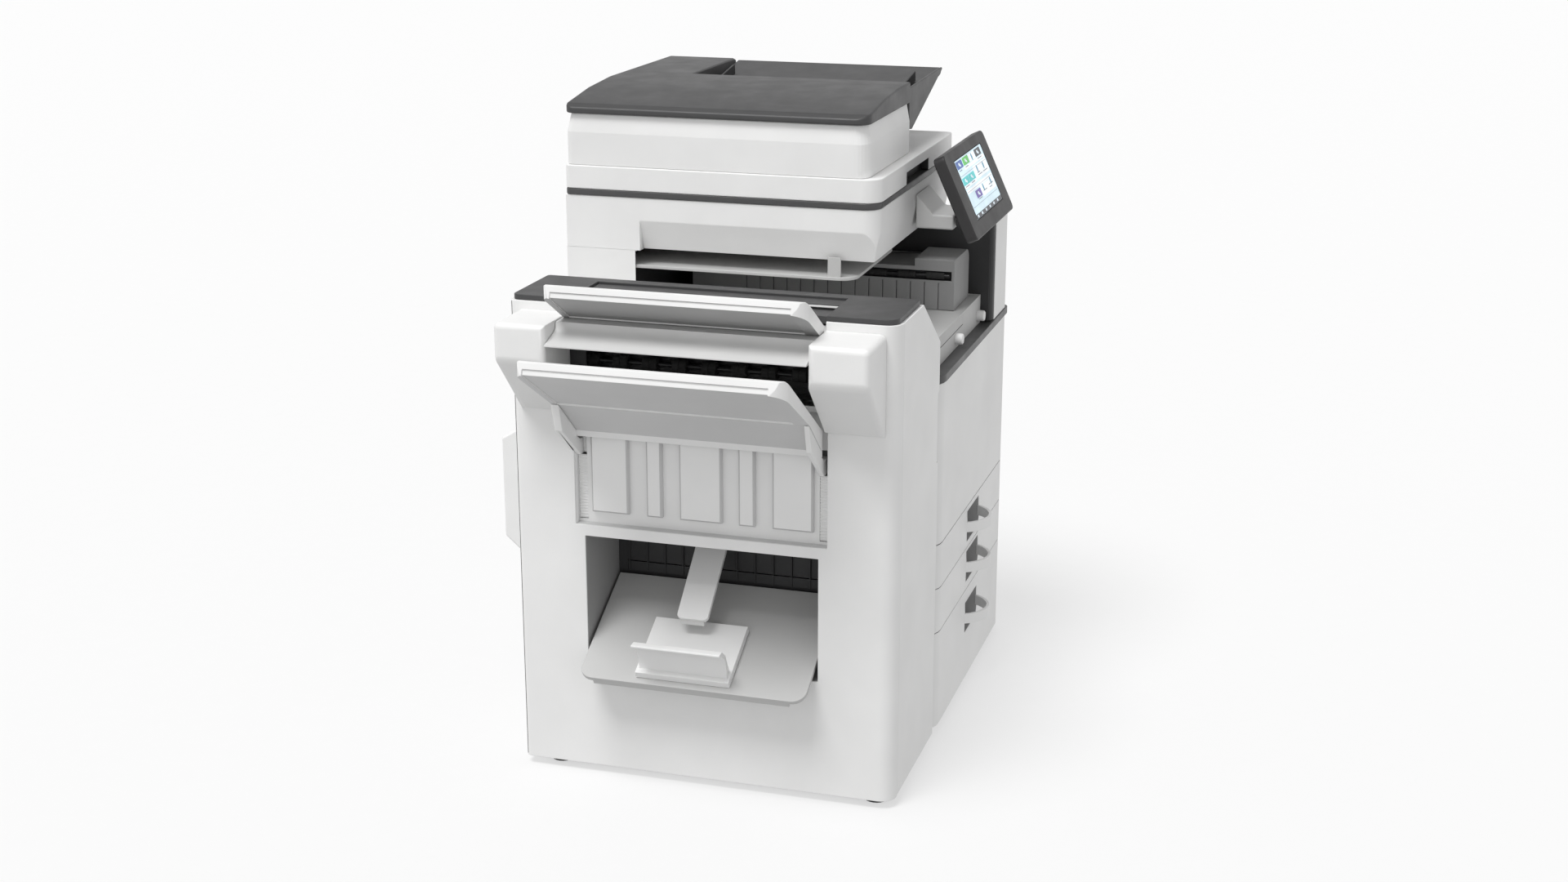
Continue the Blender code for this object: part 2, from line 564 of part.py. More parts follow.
def make_bridge():
    """Paper bridge to the finisher: base, lifting lid, and two knobs on its transport rollers."""
    y0, y1 = BRIDGE_Y
    x0, x1, split = COP_X0 + GAP, POST_X[0] - GAP, EXIT_X[0] - 0.005
    base = part(block("bridge_base", (x0, y0, BAND_TOP + GAP), (x1, y1, BRIDGE_SEAM)), "white")
    cut(base, block("cut_path", (x0 - 0.01, y0 + 0.006, BAND_TOP + 0.003), (x1 - 0.006, y1 - 0.006, BRIDGE_SEAM + 0.01)))
    join(base, block("bridge_end", (split + 0.0005, y0, BRIDGE_SEAM - 0.004), (x1, y1, BRIDGE_TOP - 0.0003)))
    lid = part(block("bridge_lid", (x0, y0, BRIDGE_SEAM + GAP), (split, y1, BRIDGE_TOP),
                     (0.445, y1, BRIDGE_SEAM + GAP)), "white")
    cut(lid, block("cut_lid", (x0 + 0.004, y0 + 0.004, 0.70), (split - 0.004, y1 - 0.004, BRIDGE_TOP - 0.004)))
    for side, x in (("left", 0.528), ("right", 0.722)):
        centre = Vector((x, y0 - 0.008, 0.698))
        knob = part(rod(f"bridge_knob_{side}", centre, 0.0105, 0.014, "Y", 20), "white")
        join(knob, rod(f"shaft_{side}", (x, 0.2765, 0.698), 0.003, 0.515, "Y", 12),
             rod(f"roller_{side}", (x, 0.285, 0.698), 0.008, 0.400, "Y", 16))
        cut(base, rod(f"bore_{side}", (x, y0, 0.698), 0.0034, 0.02, "Y", 16))


def make_exit_unit():
    """Paper exit of the copier: ribbed face, raised end block and the visible exit roller."""
    low = BRIDGE_TOP + GAP
    side = rounded([(EXIT_X[0], low), (EXIT_X[1], low), (EXIT_X[1], 0.832), (EXIT_X[0], 0.832)],
                   [0, 0, 0.020, 0.002])
    unit = part(prism("exit_unit", side, "Y", 0.041, 0.118), "white")
    join(unit, block("exit_body", (EXIT_X[0], 0.1, low), (EXIT_X[1], 0.5595, 0.817)))
    cut(unit, block("cut_roller", (0.58, 0.047, 0.792), (0.602, 0.5545, 0.809)))
    for i in range(15):
        y = 0.071 + 0.027 * i
        cut(unit, block(f"groove_{i}", (0.58, y, 0.70), (EXIT_X[0] + 0.002, y + 0.002, 0.787)))
    roller = part(rod("exit_roller", (0.5925, 0.30, 0.8005), 0.0035, 0.500, "Y", 12), "black")
    for i in range(8):
        join(roller, rod(f"exit_ring_{i}", (0.5925, 0.092 + 0.06 * i, 0.8005), 0.0065, 0.036, "Y", 14))


def make_inner_tray():
    plan = rounded([(0.310, 0.160), (0.584, 0.160), (0.584, 0.6055), (0.310, 0.6055)], [0.032, 0, 0, 0])
    tray = part(prism("inner_tray", plan, "Z", 0.843, 0.849), "white")
    join(tray, block("tray_tab", (0.312, 0.186, 0.846), (0.316, 0.210, 0.884)))


# ---------------------------------------------------------------- scanner and feeder
def make_scanner():
    """Scanner tub, open at the top, with its dark platen frame, exposure glass and carriage."""
    side = [(COP_X0, CHAMFER_Z), (COP_X0 + 0.022, SCAN_LOW), (SCAN_X1, SCAN_LOW), (SCAN_X1, SCAN_TOP), (COP_X0, SCAN_TOP)]
    tub = part(prism("scanner_body", side, "Y", SCAN_Y, TOWER_Y), "white")
    plan = rounded([(COP_X0, SCAN_Y), (SCAN_X1, SCAN_Y), (SCAN_X1, 0.8), (COP_X0, 0.8)], [0.028, 0.011, 0, 0])
    boolean(tub, cutter(prism("keep_scanner", plan, "Z", 0.8, 1.1)), "INTERSECT")
    join(tub, block("scanner_rear", (COP_X0, TOWER_Y - 0.01, SCAN_LOW), (SCAN_X1, COP_D, SCAN_TOP)))
    wedge = [(SCAN_Y - 0.01, CHAMFER_Z), (SCAN_Y, CHAMFER_Z), (SCAN_Y + 0.012, SCAN_LOW - 0.005), (SCAN_Y - 0.01, SCAN_LOW - 0.005)]
    cut(tub, prism("cut_chin", wedge, "X", 0.28, 0.95),
        block("cut_optics", (0.335, 0.150, 0.895), (0.870, 0.660, 1.0)))
    plan = rounded([(COP_X0 - 0.002, 0.1155), (SCAN_X1 + 0.001, 0.1155), (SCAN_X1 + 0.001, COP_D), (COP_X0 - 0.002, COP_D)],
                   [0.030, 0.012, 0.01, 0.01])
    frame = part(prism("platen_frame", plan, "Z", SCAN_TOP + GAP, FRAME_TOP), "dark")
    cut(frame, block("cut_glass", (GLASS_X[0], GLASS_Y[0], 0.95), (GLASS_X[1], GLASS_Y[1], 1.0)))
    part(block("exposure_glass", (GLASS_X[0] + GAP, GLASS_Y[0] + GAP, FRAME_TOP - 0.005),
               (GLASS_X[1] - GAP, GLASS_Y[1] - GAP, FRAME_TOP - 0.0005)), "glass")
    carriage = part(block("scan_carriage", (0.345, 0.180, 0.895 + GAP), (0.385, 0.510, 0.950), (0.365, 0.345, 0.92)), "black")
    cut(carriage, block("cut_mirror", (0.355, 0.195, 0.925), (0.375, 0.495, 0.96)))


def make_feeder():
    """Lid over the glass, feeder body, its cover, the document tray and two coupled side guides."""
    hinge = (0.6, COP_D + 0.0005, FRAME_TOP)
    plan = rounded([(COP_X0 - 0.002, 0.115), (SCAN_X1, 0.115), (SCAN_X1, COP_D), (COP_X0 - 0.002, COP_D)],
                   [0.032, 0.012, 0.01, 0.01])
    lid = part(prism("platen_cover", plan, "Z", FRAME_TOP + GAP, LID_TOP, hinge), "white")
    cut(lid, block("cut_lid_under", (0.33, 0.16, 0.95), (0.86, 0.66, 1.022)),
        block("cut_finger", (0.505, 0.10, 0.97), (0.680, 0.130, 1.007)),
        block("cut_screw_bay", (0.40, 0.25, 1.0), (0.56, 0.55, 1.05)))
    x0, x1 = COP_X0 + 0.001, FEED_X1
    plan = rounded([(x0, FEED_Y[0]), (x1, FEED_Y[0]), (x1, STRIP_Y + 0.001), (0.878, STRIP_Y + 0.001), (0.878, FEED_Y[1]), (x0, FEED_Y[1])],
                   [0.024, 0, 0, 0.003, 0.015, 0.012])
    body = part(prism("feeder_body", plan, "Z", LID_TOP + GAP, FEED_TOP, hinge), "white")
    cut(body, block("cut_feed", (0.325, 0.165, 1.045), (0.595, 0.665, 1.2)),
        block("cut_feed_exit", (0.58, 0.20, 1.045), (0.65, 0.50, 1.060)),
        block("cut_feed_in", (0.58, 0.20, 1.098), (0.65, 0.50, 1.2)))
    make_feeder_cover(x0, x1)
    make_document_tray()


def make_feeder_cover(x0, x1):
    side = [(x0 - 0.002, FEED_TOP + GAP), (0.879, FEED_TOP + GAP), (0.879, COVER_TOP - 0.004), (0.865, COVER_TOP),
            (0.530, COVER_TOP), (0.420, 1.151), (x0 + 0.012, 1.137), (x0 - 0.002, 1.130)]
    pivot = (x0 - 0.002, 0.41, FEED_TOP + GAP)
    cover = part(prism("feeder_cover", side, "Y", FEED_Y[0] - 0.001, FEED_Y[1] + 0.001, pivot), "dark")
    plan = rounded([(x0 - 0.002, FEED_Y[0] - 0.001), (x1, FEED_Y[0] - 0.001), (x1, STRIP_Y), (0.879, STRIP_Y), (0.879, FEED_Y[1] + 0.001),
                    (x0 - 0.002, FEED_Y[1] + 0.001)], [0.026, 0.004, 0, 0.003, 0.016, 0.014])
    boolean(cover, cutter(prism("keep_cover", plan, "Z", 1.0, 1.3)), "INTERSECT")
    cut(cover, block("cut_cover", (0.325, 0.160, 1.10), (0.600, 0.670, 1.128)))


def make_document_tray():
    x = FEED_X1 + 0.0035
    side = [(x, 1.0700), (x + 0.025, 1.0665), (0.884, 1.1480), (0.886, 1.1525), (0.866, 1.1490), (x + 0.02, 1.1130),
            (x, 1.1130)]
    hinge = (x - 0.001, 0.35, 1.1465)
    tray = part(prism("document_tray", side, "Y", 0.139, STRIP_Y - 0.0015, hinge), "dark")
    rim = [(x, 1.1000), (0.870, 1.1400), (0.886, 1.1525), (0.866, 1.1535), (x + 0.01, 1.1460), (x, 1.1430)]
    join(tray, prism("tray_rim", rim, "Y", 0.139, 0.144))
    slope = math.atan2(1.1490 - 1.1130, 0.866 - x - 0.02)
    for name, y, reach in (("document_guide_front", 0.170, 0.030), ("document_guide_rear", 0.535, -0.030)):
        bm = bmesh.new()
        block_mesh(bm, (0.0, -0.002, 0.0006), (0.130, 0.002, 0.020))
        place = Matrix.Translation((0.655, y, 1.1170)) @ Matrix.Rotation(-slope, 4, "Y")
        bmesh.ops.transform(bm, verts=bm.verts, matrix=place)
        guide = part(mesh_object(name, bm, (0.72, y, 1.13)), "black")
        foot = bmesh.new()
        block_mesh(foot, (0.02, min(0, reach), 0.0006), (0.110, max(0, reach), 0.003))
        bmesh.ops.transform(foot, verts=foot.verts, matrix=place)
        join(guide, mesh_object("foot_" + name, foot))


def panel_frame():
    """Frame on the panel's face: x across, y up the face, z out towards the operator."""
    up = Vector((0, math.sin(PANEL_TILT), math.cos(PANEL_TILT)))
    across = Vector((1, 0, 0))
    turn = Matrix((across, up, across.cross(up))).transposed().to_4x4()
    return Matrix.Translation(PANEL_MID) @ turn


def panel_block(name, low, high, pivot=(0, 0, 0)):
    bm = bmesh.new()
    block_mesh(bm, low, high)
    bmesh.ops.transform(bm, verts=bm.verts, matrix=panel_frame())
    return mesh_object(name, bm, pivot)


def make_panel():
    """Operation panel on a fixed arm: the housing tilts on a barrel at the arm's end."""
    side = [(SCAN_Y - 0.0006, 0.931), (SCAN_Y - 0.0006, 0.955), (0.083, 0.9175), (0.044, 0.9175), (0.044, 0.890),
            (SCAN_Y - 0.0006, 0.890)]
    part(prism("panel_arm", side, "X", 0.585, 0.694), "white")
    outline = rounded([(-PANEL_W / 2, -PANEL_H / 2), (PANEL_W / 2, -PANEL_H / 2), (PANEL_W / 2, PANEL_H / 2),
                       (-PANEL_W / 2, PANEL_H / 2)], [0.012] * 4, 4)
    bm = outline_mesh(outline, PANEL_T)
    bmesh.ops.transform(bm, verts=bm.verts, matrix=panel_frame() @ Matrix.Translation((0, 0, -PANEL_T / 2)))
    housing = part(mesh_object("panel_housing", bm, PANEL_AXIS), "dark")
    cut(housing, panel_block("cut_screen", (-0.1125, -0.052, -0.003), (0.1125, 0.062, 0.01)))
    link = [(0.034, 0.912), (0.034, 0.898), (-0.004, 0.892), (0.002, 0.930)]
    join(housing, rod("barrel_panel", PANEL_AXIS, 0.012, 0.125, "X", 20), prism("panel_link", link, "X", 0.600, 0.680))
    part(panel_block("panel_screen", (-0.1122, -0.0517, -0.0027), (0.1122, 0.0617, -0.0005), PANEL_AXIS), "glass")


def make_inlet():
    inlet = part(block("power_inlet", (0.360, COP_D + GAP, 0.080), (0.410, COP_D + 0.012, 0.115)), "black")
    cut(inlet, block("cut_inlet", (0.366, COP_D + 0.003, 0.086), (0.404, COP_D + 0.03, 0.109)))


clear_scene()
parts = new_collection("photocopier")
cutters = new_collection("cutters")
datum = bpy.data.objects.new("datum", None)
parts.objects.link(datum)
datum.location = DATUM

make_finisher_shell()
make_finisher_base()
make_finisher_door()
make_shoulders()
make_exit_guide()
make_top_cover()
make_proof_tray()
make_shift_tray()
make_tray_carriage()
make_stack_fence()
make_booklet_bay()
make_booklet_tray()
make_booklet_stopper()
make_press_arm()
make_rollers()
make_stapler()
make_finisher_back()
make_copier_shell()
make_copier_base()
make_front_door()
make_drawers()
make_band()
make_engine()
make_bypass_tray()
make_exit_bay()
make_bridge()
make_exit_unit()
make_inner_tray()
make_scanner()
make_feeder()
make_panel()
make_inlet()
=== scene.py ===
import json
import math

import bmesh
import bpy
from mathutils import Matrix, Vector


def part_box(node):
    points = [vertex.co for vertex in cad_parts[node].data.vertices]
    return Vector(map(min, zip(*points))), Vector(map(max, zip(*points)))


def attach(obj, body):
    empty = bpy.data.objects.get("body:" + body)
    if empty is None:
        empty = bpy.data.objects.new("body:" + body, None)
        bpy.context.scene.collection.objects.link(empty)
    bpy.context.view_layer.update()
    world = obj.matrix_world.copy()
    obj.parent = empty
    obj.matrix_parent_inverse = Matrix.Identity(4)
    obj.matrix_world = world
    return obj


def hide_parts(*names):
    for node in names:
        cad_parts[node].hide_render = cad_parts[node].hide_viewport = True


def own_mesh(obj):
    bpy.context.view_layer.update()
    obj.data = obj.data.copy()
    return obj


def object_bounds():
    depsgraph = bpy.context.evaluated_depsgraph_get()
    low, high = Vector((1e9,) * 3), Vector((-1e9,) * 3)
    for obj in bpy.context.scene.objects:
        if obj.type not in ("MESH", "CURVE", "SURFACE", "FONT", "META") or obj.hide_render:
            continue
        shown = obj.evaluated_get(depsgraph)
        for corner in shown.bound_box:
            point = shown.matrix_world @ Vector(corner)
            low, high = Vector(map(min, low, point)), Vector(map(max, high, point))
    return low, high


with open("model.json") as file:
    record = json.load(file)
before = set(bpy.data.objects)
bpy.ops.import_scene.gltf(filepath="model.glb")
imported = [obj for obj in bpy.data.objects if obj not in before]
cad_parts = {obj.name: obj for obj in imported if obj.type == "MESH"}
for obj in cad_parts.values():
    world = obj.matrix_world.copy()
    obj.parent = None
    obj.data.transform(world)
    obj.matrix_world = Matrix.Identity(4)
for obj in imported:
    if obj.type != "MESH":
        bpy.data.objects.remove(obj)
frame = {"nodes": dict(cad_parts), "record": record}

CAD_LOW, CAD_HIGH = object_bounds()
CORNER = Vector(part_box("finisher_shell")[0])     # layout origin: the finisher's outer front bottom corner

# sizes in the layout frame, metres
COP_X0, COP_X1, COP_BACK = 0.305, 0.901, 0.702
BAY_Y = (0.1245, 0.5755)
SLOT_Y = ((0.1232, 0.1390), (0.5575, 0.5737))
PANEL_TILT = math.radians(24.4)
PANEL_MID = Vector((0.642, 0.0077, 0.9707))
SCREEN_X, SCREEN_TOP, SCREEN_TALL = 0.1118, 0.0612, 0.1045      # half width, top edge, picture height


# ------------------------------------------------------------------ materials
def socket(node, name, value):
    node.inputs[name].default_value = value


def plastic(name, colour, rough, grain=0.10, size=0.0009, tone=0.03, dust=0.0):
    """Moulded plastic: fine spark-eroded grain, slow drift of tone and gloss, and a little dust on top."""
    mat = bpy.data.materials.new(name)
    mat.use_nodes = True
    tree = mat.node_tree
    shader = tree.nodes["Principled BSDF"]
    coords = tree.nodes.new("ShaderNodeTexCoord")

    def noise(scale, detail):
        node = tree.nodes.new("ShaderNodeTexNoise")
        tree.links.new(coords.outputs["Object"], node.inputs["Vector"])
        socket(node, "Scale", scale)
        socket(node, "Detail", detail)
        return node.outputs["Fac"]

    def mapped(source, low, high, from_low=0.3, from_high=0.7):
        node = tree.nodes.new("ShaderNodeMapRange")
        tree.links.new(source, node.inputs["Value"])
        for key, value in (("From Min", from_low), ("From Max", from_high),
                           ("To Min", low), ("To Max", high)):
            socket(node, key, value)
        return node.outputs["Result"]

    def mix(factor, first, second):
        node = tree.nodes.new("ShaderNodeMix")
        node.data_type = "RGBA"
        tree.links.new(factor, node.inputs["Factor"])
        for slot, value in (("A", first), ("B", second)):
            target = next(s for s in node.inputs if s.name == slot and s.type == "RGBA")
            if hasattr(value, "links"):
                tree.links.new(value, target)
            else:
                target.default_value = (*value, 1.0)
        return next(s for s in node.outputs if s.type == "RGBA")

    deep = tuple(c * (1 - tone) for c in colour)
    pale = tuple(min(1.0, c * (1 + tone)) for c in colour)
    paint = mix(mapped(noise(7.0, 4.0), 0.0, 1.0), deep, pale)
    paint = mix(mapped(noise(900.0, 1.0), 0.0, 0.35), paint, deep)
    if dust:
        facing = tree.nodes.new("ShaderNodeNewGeometry")
        split = tree.nodes.new("ShaderNodeSeparateXYZ")
        tree.links.new(facing.outputs["Normal"], split.inputs["Vector"])
        settled = tree.nodes.new("ShaderNodeMath")
        settled.operation = "MULTIPLY"
        tree.links.new(mapped(split.outputs["Z"], 0.0, dust, 0.6, 1.0), settled.inputs[0])
        tree.links.new(mapped(noise(35.0, 6.0), 0.2, 1.0), settled.inputs[1])
        paint = mix(settled.outputs["Value"], paint, (0.60, 0.59, 0.57))
    tree.links.new(paint, shader.inputs["Base Color"])
    tree.links.new(mapped(noise(22.0, 5.0), rough - 0.05, rough + 0.05), shader.inputs["Roughness"])
    bump = tree.nodes.new("ShaderNodeBump")
    socket(bump, "Strength", grain)
    socket(bump, "Distance", 0.0003)
    tree.links.new(noise(1.0 / size, 2.0), bump.inputs["Height"])
    tree.links.new(bump.outputs["Normal"], shader.inputs["Normal"])
    socket(shader, "Specular IOR Level", 0.45)
    return mat


def metal(name, colour, rough):
    mat = plastic(name, colour, rough, grain=0.05, size=0.0004)
    socket(mat.node_tree.nodes["Principled BSDF"], "Metallic", 1.0)
    return mat


def lit(name, colour, strength, cell=0.0):
    """Back-lit part of the display, with a slow unevenness of the lamp behind it."""
    mat = bpy.data.materials.new(name)
    mat.use_nodes = True
    tree = mat.node_tree
    shader = tree.nodes["Principled BSDF"]
    coords = tree.nodes.new("ShaderNodeTexCoord")
    cloud = tree.nodes.new("ShaderNodeTexNoise")
    ramp = tree.nodes.new("ShaderNodeValToRGB")
    tree.links.new(coords.outputs["Object"], cloud.inputs["Vector"])
    socket(cloud, "Scale", 18.0)
    tree.links.new(cloud.outputs["Fac"], ramp.inputs["Fac"])
    ramp.color_ramp.elements[0].color = (*[c * (0.85 - cell) for c in colour], 1.0)
    ramp.color_ramp.elements[1].color = (*[min(1.0, c * 1.08) for c in colour], 1.0)
    ramp.color_ramp.elements[0].position, ramp.color_ramp.elements[1].position = 0.3, 0.7
    tree.links.new(ramp.outputs["Color"], shader.inputs["Base Color"])
    tree.links.new(ramp.outputs["Color"], shader.inputs["Emission Color"])
    socket(shader, "Emission Strength", strength)
    socket(shader, "Roughness", 0.22)
    return mat


def clear_glass(name):
    mat = plastic(name, (0.70, 0.80, 0.79), 0.08, grain=0.0, tone=0.01)
    shader = mat.node_tree.nodes["Principled BSDF"]
    socket(shader, "Transmission Weight", 0.85)
    socket(shader, "IOR", 1.5)
    return mat


WHITE = plastic("white_moulded", (0.85, 0.85, 0.845), 0.48, tone=0.035)
# Darker white: a textured white on the covers, handle rims and the door's inside, and painted shade on the
# stack fence pads' sides
SHADE = plastic("white_textured_and_painted_shade", (0.66, 0.66, 0.66), 0.55)
# Greyed satin white; on the exit guide beam its grey is painted shade from the proof tray above
BEAM = plastic("white_satin_guides_and_painted_shade", (0.66, 0.66, 0.655), 0.50)
# Darker greys for the trays' downward faces: painted shade under the trays
UNDERSIDE_SHADE = plastic("tray_underside", (0.62, 0.62, 0.62), 0.55)
PROOF_UNDERSIDE_SHADE = plastic("proof_tray_underside", (0.40, 0.40, 0.40), 0.55)
# A touch brighter than the white moulding: painted light that lifts the fence and its bellows out of the
# shade under the shift tray
FENCE_LIT = plastic("fence_white_painted_light", (0.88, 0.88, 0.875), 0.50)
# Booklet tray white darkened: painted shade deep in the booklet bay
BOOKLET_TRAY_SHADE = plastic("booklet_tray_painted_shade", (0.52, 0.52, 0.515), 0.52)
BAY_SIDE = plastic("bay_side_grey", (0.36, 0.36, 0.36), 0.55)
# White darkened: painted shade on the bridge and inner tray in the bay under the scanner
BRIDGE_SHADE = plastic("bridge_white_painted_shade", (0.50, 0.50, 0.495), 0.50)
# Grey of the exit unit, made darker still as painted shade in the bay under the scanner
UNIT = plastic("exit_unit_grey_and_painted_shade", (0.27, 0.27, 0.27), 0.52)
# Mid grey in the drawer grip recesses: painted shade inside the recess
RECESS_SHADE = plastic("grip_recess_painted_shade", (0.42, 0.42, 0.42), 0.55)
# Near black standing in for the shadow in narrow gaps and seams: painted shadow
SEAM_SHADOW = plastic("seam_shadow_grey", (0.045, 0.045, 0.045), 0.70)
GREY = plastic("grey_moulded", (0.33, 0.33, 0.33), 0.50)
INNER = plastic("inner_dark_grey", (0.026, 0.026, 0.027), 0.60)
DARK = plastic("dark_moulded", (0.054, 0.054, 0.055), 0.46, grain=0.16, tone=0.05, dust=0.012)
EDGE = plastic("dark_band", (0.066, 0.066, 0.067), 0.42, tone=0.05)
BEZEL = plastic("bezel", (0.024, 0.023, 0.024), 0.46, grain=0.08, tone=0.05)
BLACK = plastic("black_satin", (0.012, 0.012, 0.013), 0.38, tone=0.10)
RUBBER = plastic("black_rubber", (0.018, 0.018, 0.018), 0.82, grain=0.35, size=0.0006, tone=0.12)
STEEL = metal("zinc_plated_steel", (0.60, 0.60, 0.61), 0.32)
PAINTED = plastic("painted_chassis", (0.022, 0.022, 0.022), 0.5, grain=0.2)
GLASS = clear_glass("platen_glass")
FOAM = plastic("white_foam_pad", (0.86, 0.86, 0.85), 0.75, grain=0.3, size=0.0016)


# ------------------------------------------------------------------ mesh tools
def node_mesh(node):
    """A CAD node's surface in the layout frame, with its seams welded and flat faces merged."""
    bm = bmesh.new()
    bm.from_mesh(frame["nodes"][node].data)
    bmesh.ops.remove_doubles(bm, verts=bm.verts, dist=2e-5)
    bmesh.ops.dissolve_limit(bm, angle_limit=math.radians(1.0), verts=bm.verts, edges=bm.edges)
    bmesh.ops.translate(bm, verts=bm.verts, vec=-CORNER)
    return bm


def round_edges(bm, width, segments=3, angle=28.0, where=None):
    """Bevels the sharp edges, leaving out those that meet at a shallow angle or that the where test rejects.
    """
    edges = []
    for edge in bm.edges:
        if len(edge.link_faces) != 2 or edge.calc_face_angle(0.0) < math.radians(angle):
            continue
        if where is None or where(edge):
            edges.append(edge)
    if edges:
        bmesh.ops.bevel(bm, geom=edges, offset=width, offset_type="OFFSET", segments=segments,
                        profile=0.5, affect="EDGES", clamp_overlap=False, loop_slide=True)
    return bm


def piece(name, bm, body, mats, replaces=(), smooth=35.0):
    """Object made from a layout-frame mesh, riding on a CAD body."""
    bmesh.ops.translate(bm, verts=bm.verts, vec=CORNER)
    mesh = bpy.data.meshes.new(name)
    bm.to_mesh(mesh)
    bm.free()
    mats = mats if isinstance(mats, (list, tuple)) else [mats]
    for mat in mats:
        mesh.materials.append(mat)
    mesh.shade_smooth()
    mesh.set_sharp_from_angle(angle=math.radians(smooth))
    obj = bpy.data.objects.new(name, mesh)
    bpy.context.scene.collection.objects.link(obj)
    normals = obj.modifiers.new("normals", "WEIGHTED_NORMAL")
    normals.keep_sharp = True
    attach(obj, body)
    if replaces:
        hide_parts(*([replaces] if isinstance(replaces, str) else replaces))
    return obj


def body_of(node):
    return next(body for body, names in frame["record"]["behaviour"]["bodies"].items() if node in names)


def refine(node, mats, width=0.0012, segments=3, where=None, paint=None):
    """A CAD node with rounded edges; paint(face) picks the material index of each face."""
    bm = round_edges(node_mesh(node), width, segments, where=where)
    if paint:
        for face in bm.faces:
            face.material_index = paint(face)
    return piece(node + "_skin", bm, body_of(node), mats, node)


def box_mesh(low, high, bm=None):
    bm = bm or bmesh.new()
    low, high = Vector(low), Vector(high)
    place = Matrix.Translation((low + high) / 2) @ Matrix.Diagonal((*(high - low), 1.0))
    bmesh.ops.create_cube(bm, size=1.0, matrix=place)
    return bm


SIDE = {"Y": Matrix(((1, 0, 0, 0), (0, 0, -1, 0), (0, 1, 0, 0), (0, 0, 0, 1))),
        "X": Matrix(((0, 0, 1, 0), (1, 0, 0, 0), (0, 1, 0, 0), (0, 0, 0, 1))),
        "Z": Matrix.Identity(4)}


def prism_mesh(points, axis, low, high, bm=None):
    """Outline (x, z across Y; y, z across X; x, y across Z) extruded between two coordinates."""
    out = bm or bmesh.new()
    sign = -1 if axis == "Y" else 1
    rings = []
    for level in (low, high):
        ring = [out.verts.new(SIDE[axis] @ Vector((p[0], p[1], sign * level))) for p in points]
        rings.append(ring)
    caps = [out.faces.new(rings[0]), out.faces.new(rings[1])]
    count = len(points)
    sides = [out.faces.new((rings[0][i], rings[0][(i + 1) % count], rings[1][(i + 1) % count], rings[1][i]))
             for i in range(count)]
    bmesh.ops.recalc_face_normals(out, faces=caps + sides)
    return out


def lathe_mesh(profile, centre, axis, sides=32, bm=None):
    """Turned solid: profile of (radius, distance along the axis) from a centre."""
    out = bm or bmesh.new()
    rings = []
    for radius, along in profile:
        ring = []
        for k in range(sides):
            angle = 2 * math.pi * k / sides
            a, b = radius * math.cos(angle), radius * math.sin(angle)
            local = {"X": (along, a, b), "Y": (a, along, b), "Z": (a, b, along)}[axis]
            ring.append(out.verts.new(Vector(centre) + Vector(local)))
        rings.append(ring)
    faces = [out.faces.new(rings[0]), out.faces.new(rings[-1])]
    for lower, upper in zip(rings, rings[1:]):
        for k in range(sides):
            faces.append(out.faces.new((lower[k], lower[(k + 1) % sides], upper[(k + 1) % sides], upper[k])))
    bmesh.ops.recalc_face_normals(out, faces=faces)
    return out


def rounded(points, radii, steps=8):
    """Outline with each corner replaced by an arc of the given radius."""
    out = []
    count = len(points)
    for i, (point, radius) in enumerate(zip(points, radii)):
        corner = Vector(point)
        if not radius:
            out.append(corner)
            continue
        back = (Vector(points[i - 1]) - corner).normalized()
        ahead = (Vector(points[(i + 1) % count]) - corner).normalized()
        half = back.angle(ahead) / 2
        centre = corner + (back + ahead).normalized() * radius / math.sin(half)
        start = corner + back * radius / math.tan(half) - centre
        end = corner + ahead * radius / math.tan(half) - centre
        sweep = math.atan2(start.x * end.y - start.y * end.x, start.dot(end))
        for k in range(steps + 1):
            angle = sweep * k / steps
            out.append(centre + Vector((start.x * math.cos(angle) - start.y * math.sin(angle),
                                        start.x * math.sin(angle) + start.y * math.cos(angle))))
    return out


def carve(bm, tool):
    """Cuts one mesh out of another and returns the result with its flat faces merged."""
    made = []
    for name, part in (("carved", bm), ("tool", tool)):
        mesh = bpy.data.meshes.new(name)
        part.to_mesh(mesh)
        part.free()
        made.append(bpy.data.objects.new(name, mesh))
        bpy.context.scene.collection.objects.link(made[-1])
    cut = made[0].modifiers.new("cut", "BOOLEAN")
    cut.operation, cut.solver, cut.object = "DIFFERENCE", "EXACT", made[1]
    result = bpy.data.meshes.new_from_object(made[0].evaluated_get(bpy.context.evaluated_depsgraph_get()))
    out = bmesh.new()
    out.from_mesh(result)
    bpy.data.meshes.remove(result)
    for obj in made:
        bpy.data.meshes.remove(obj.data)
    bmesh.ops.remove_doubles(out, verts=out.verts, dist=1e-5)
    bmesh.ops.dissolve_limit(out, angle_limit=math.radians(1.0), verts=out.verts, edges=out.edges)
    return out


# ------------------------------------------------------------------ finisher
def inside(face, low, high):
    centre = face.calc_center_median()
    return all(a < c < b for a, c, b in zip(low, centre, high))


def inner_skin(face, low, high):
    """True for a face behind the cover thickness that looks into the cabinet."""
    centre = (Vector(low) + Vector(high)) / 2
    return inside(face, low, high) and face.normal.dot(centre - face.calc_center_median()) > 0


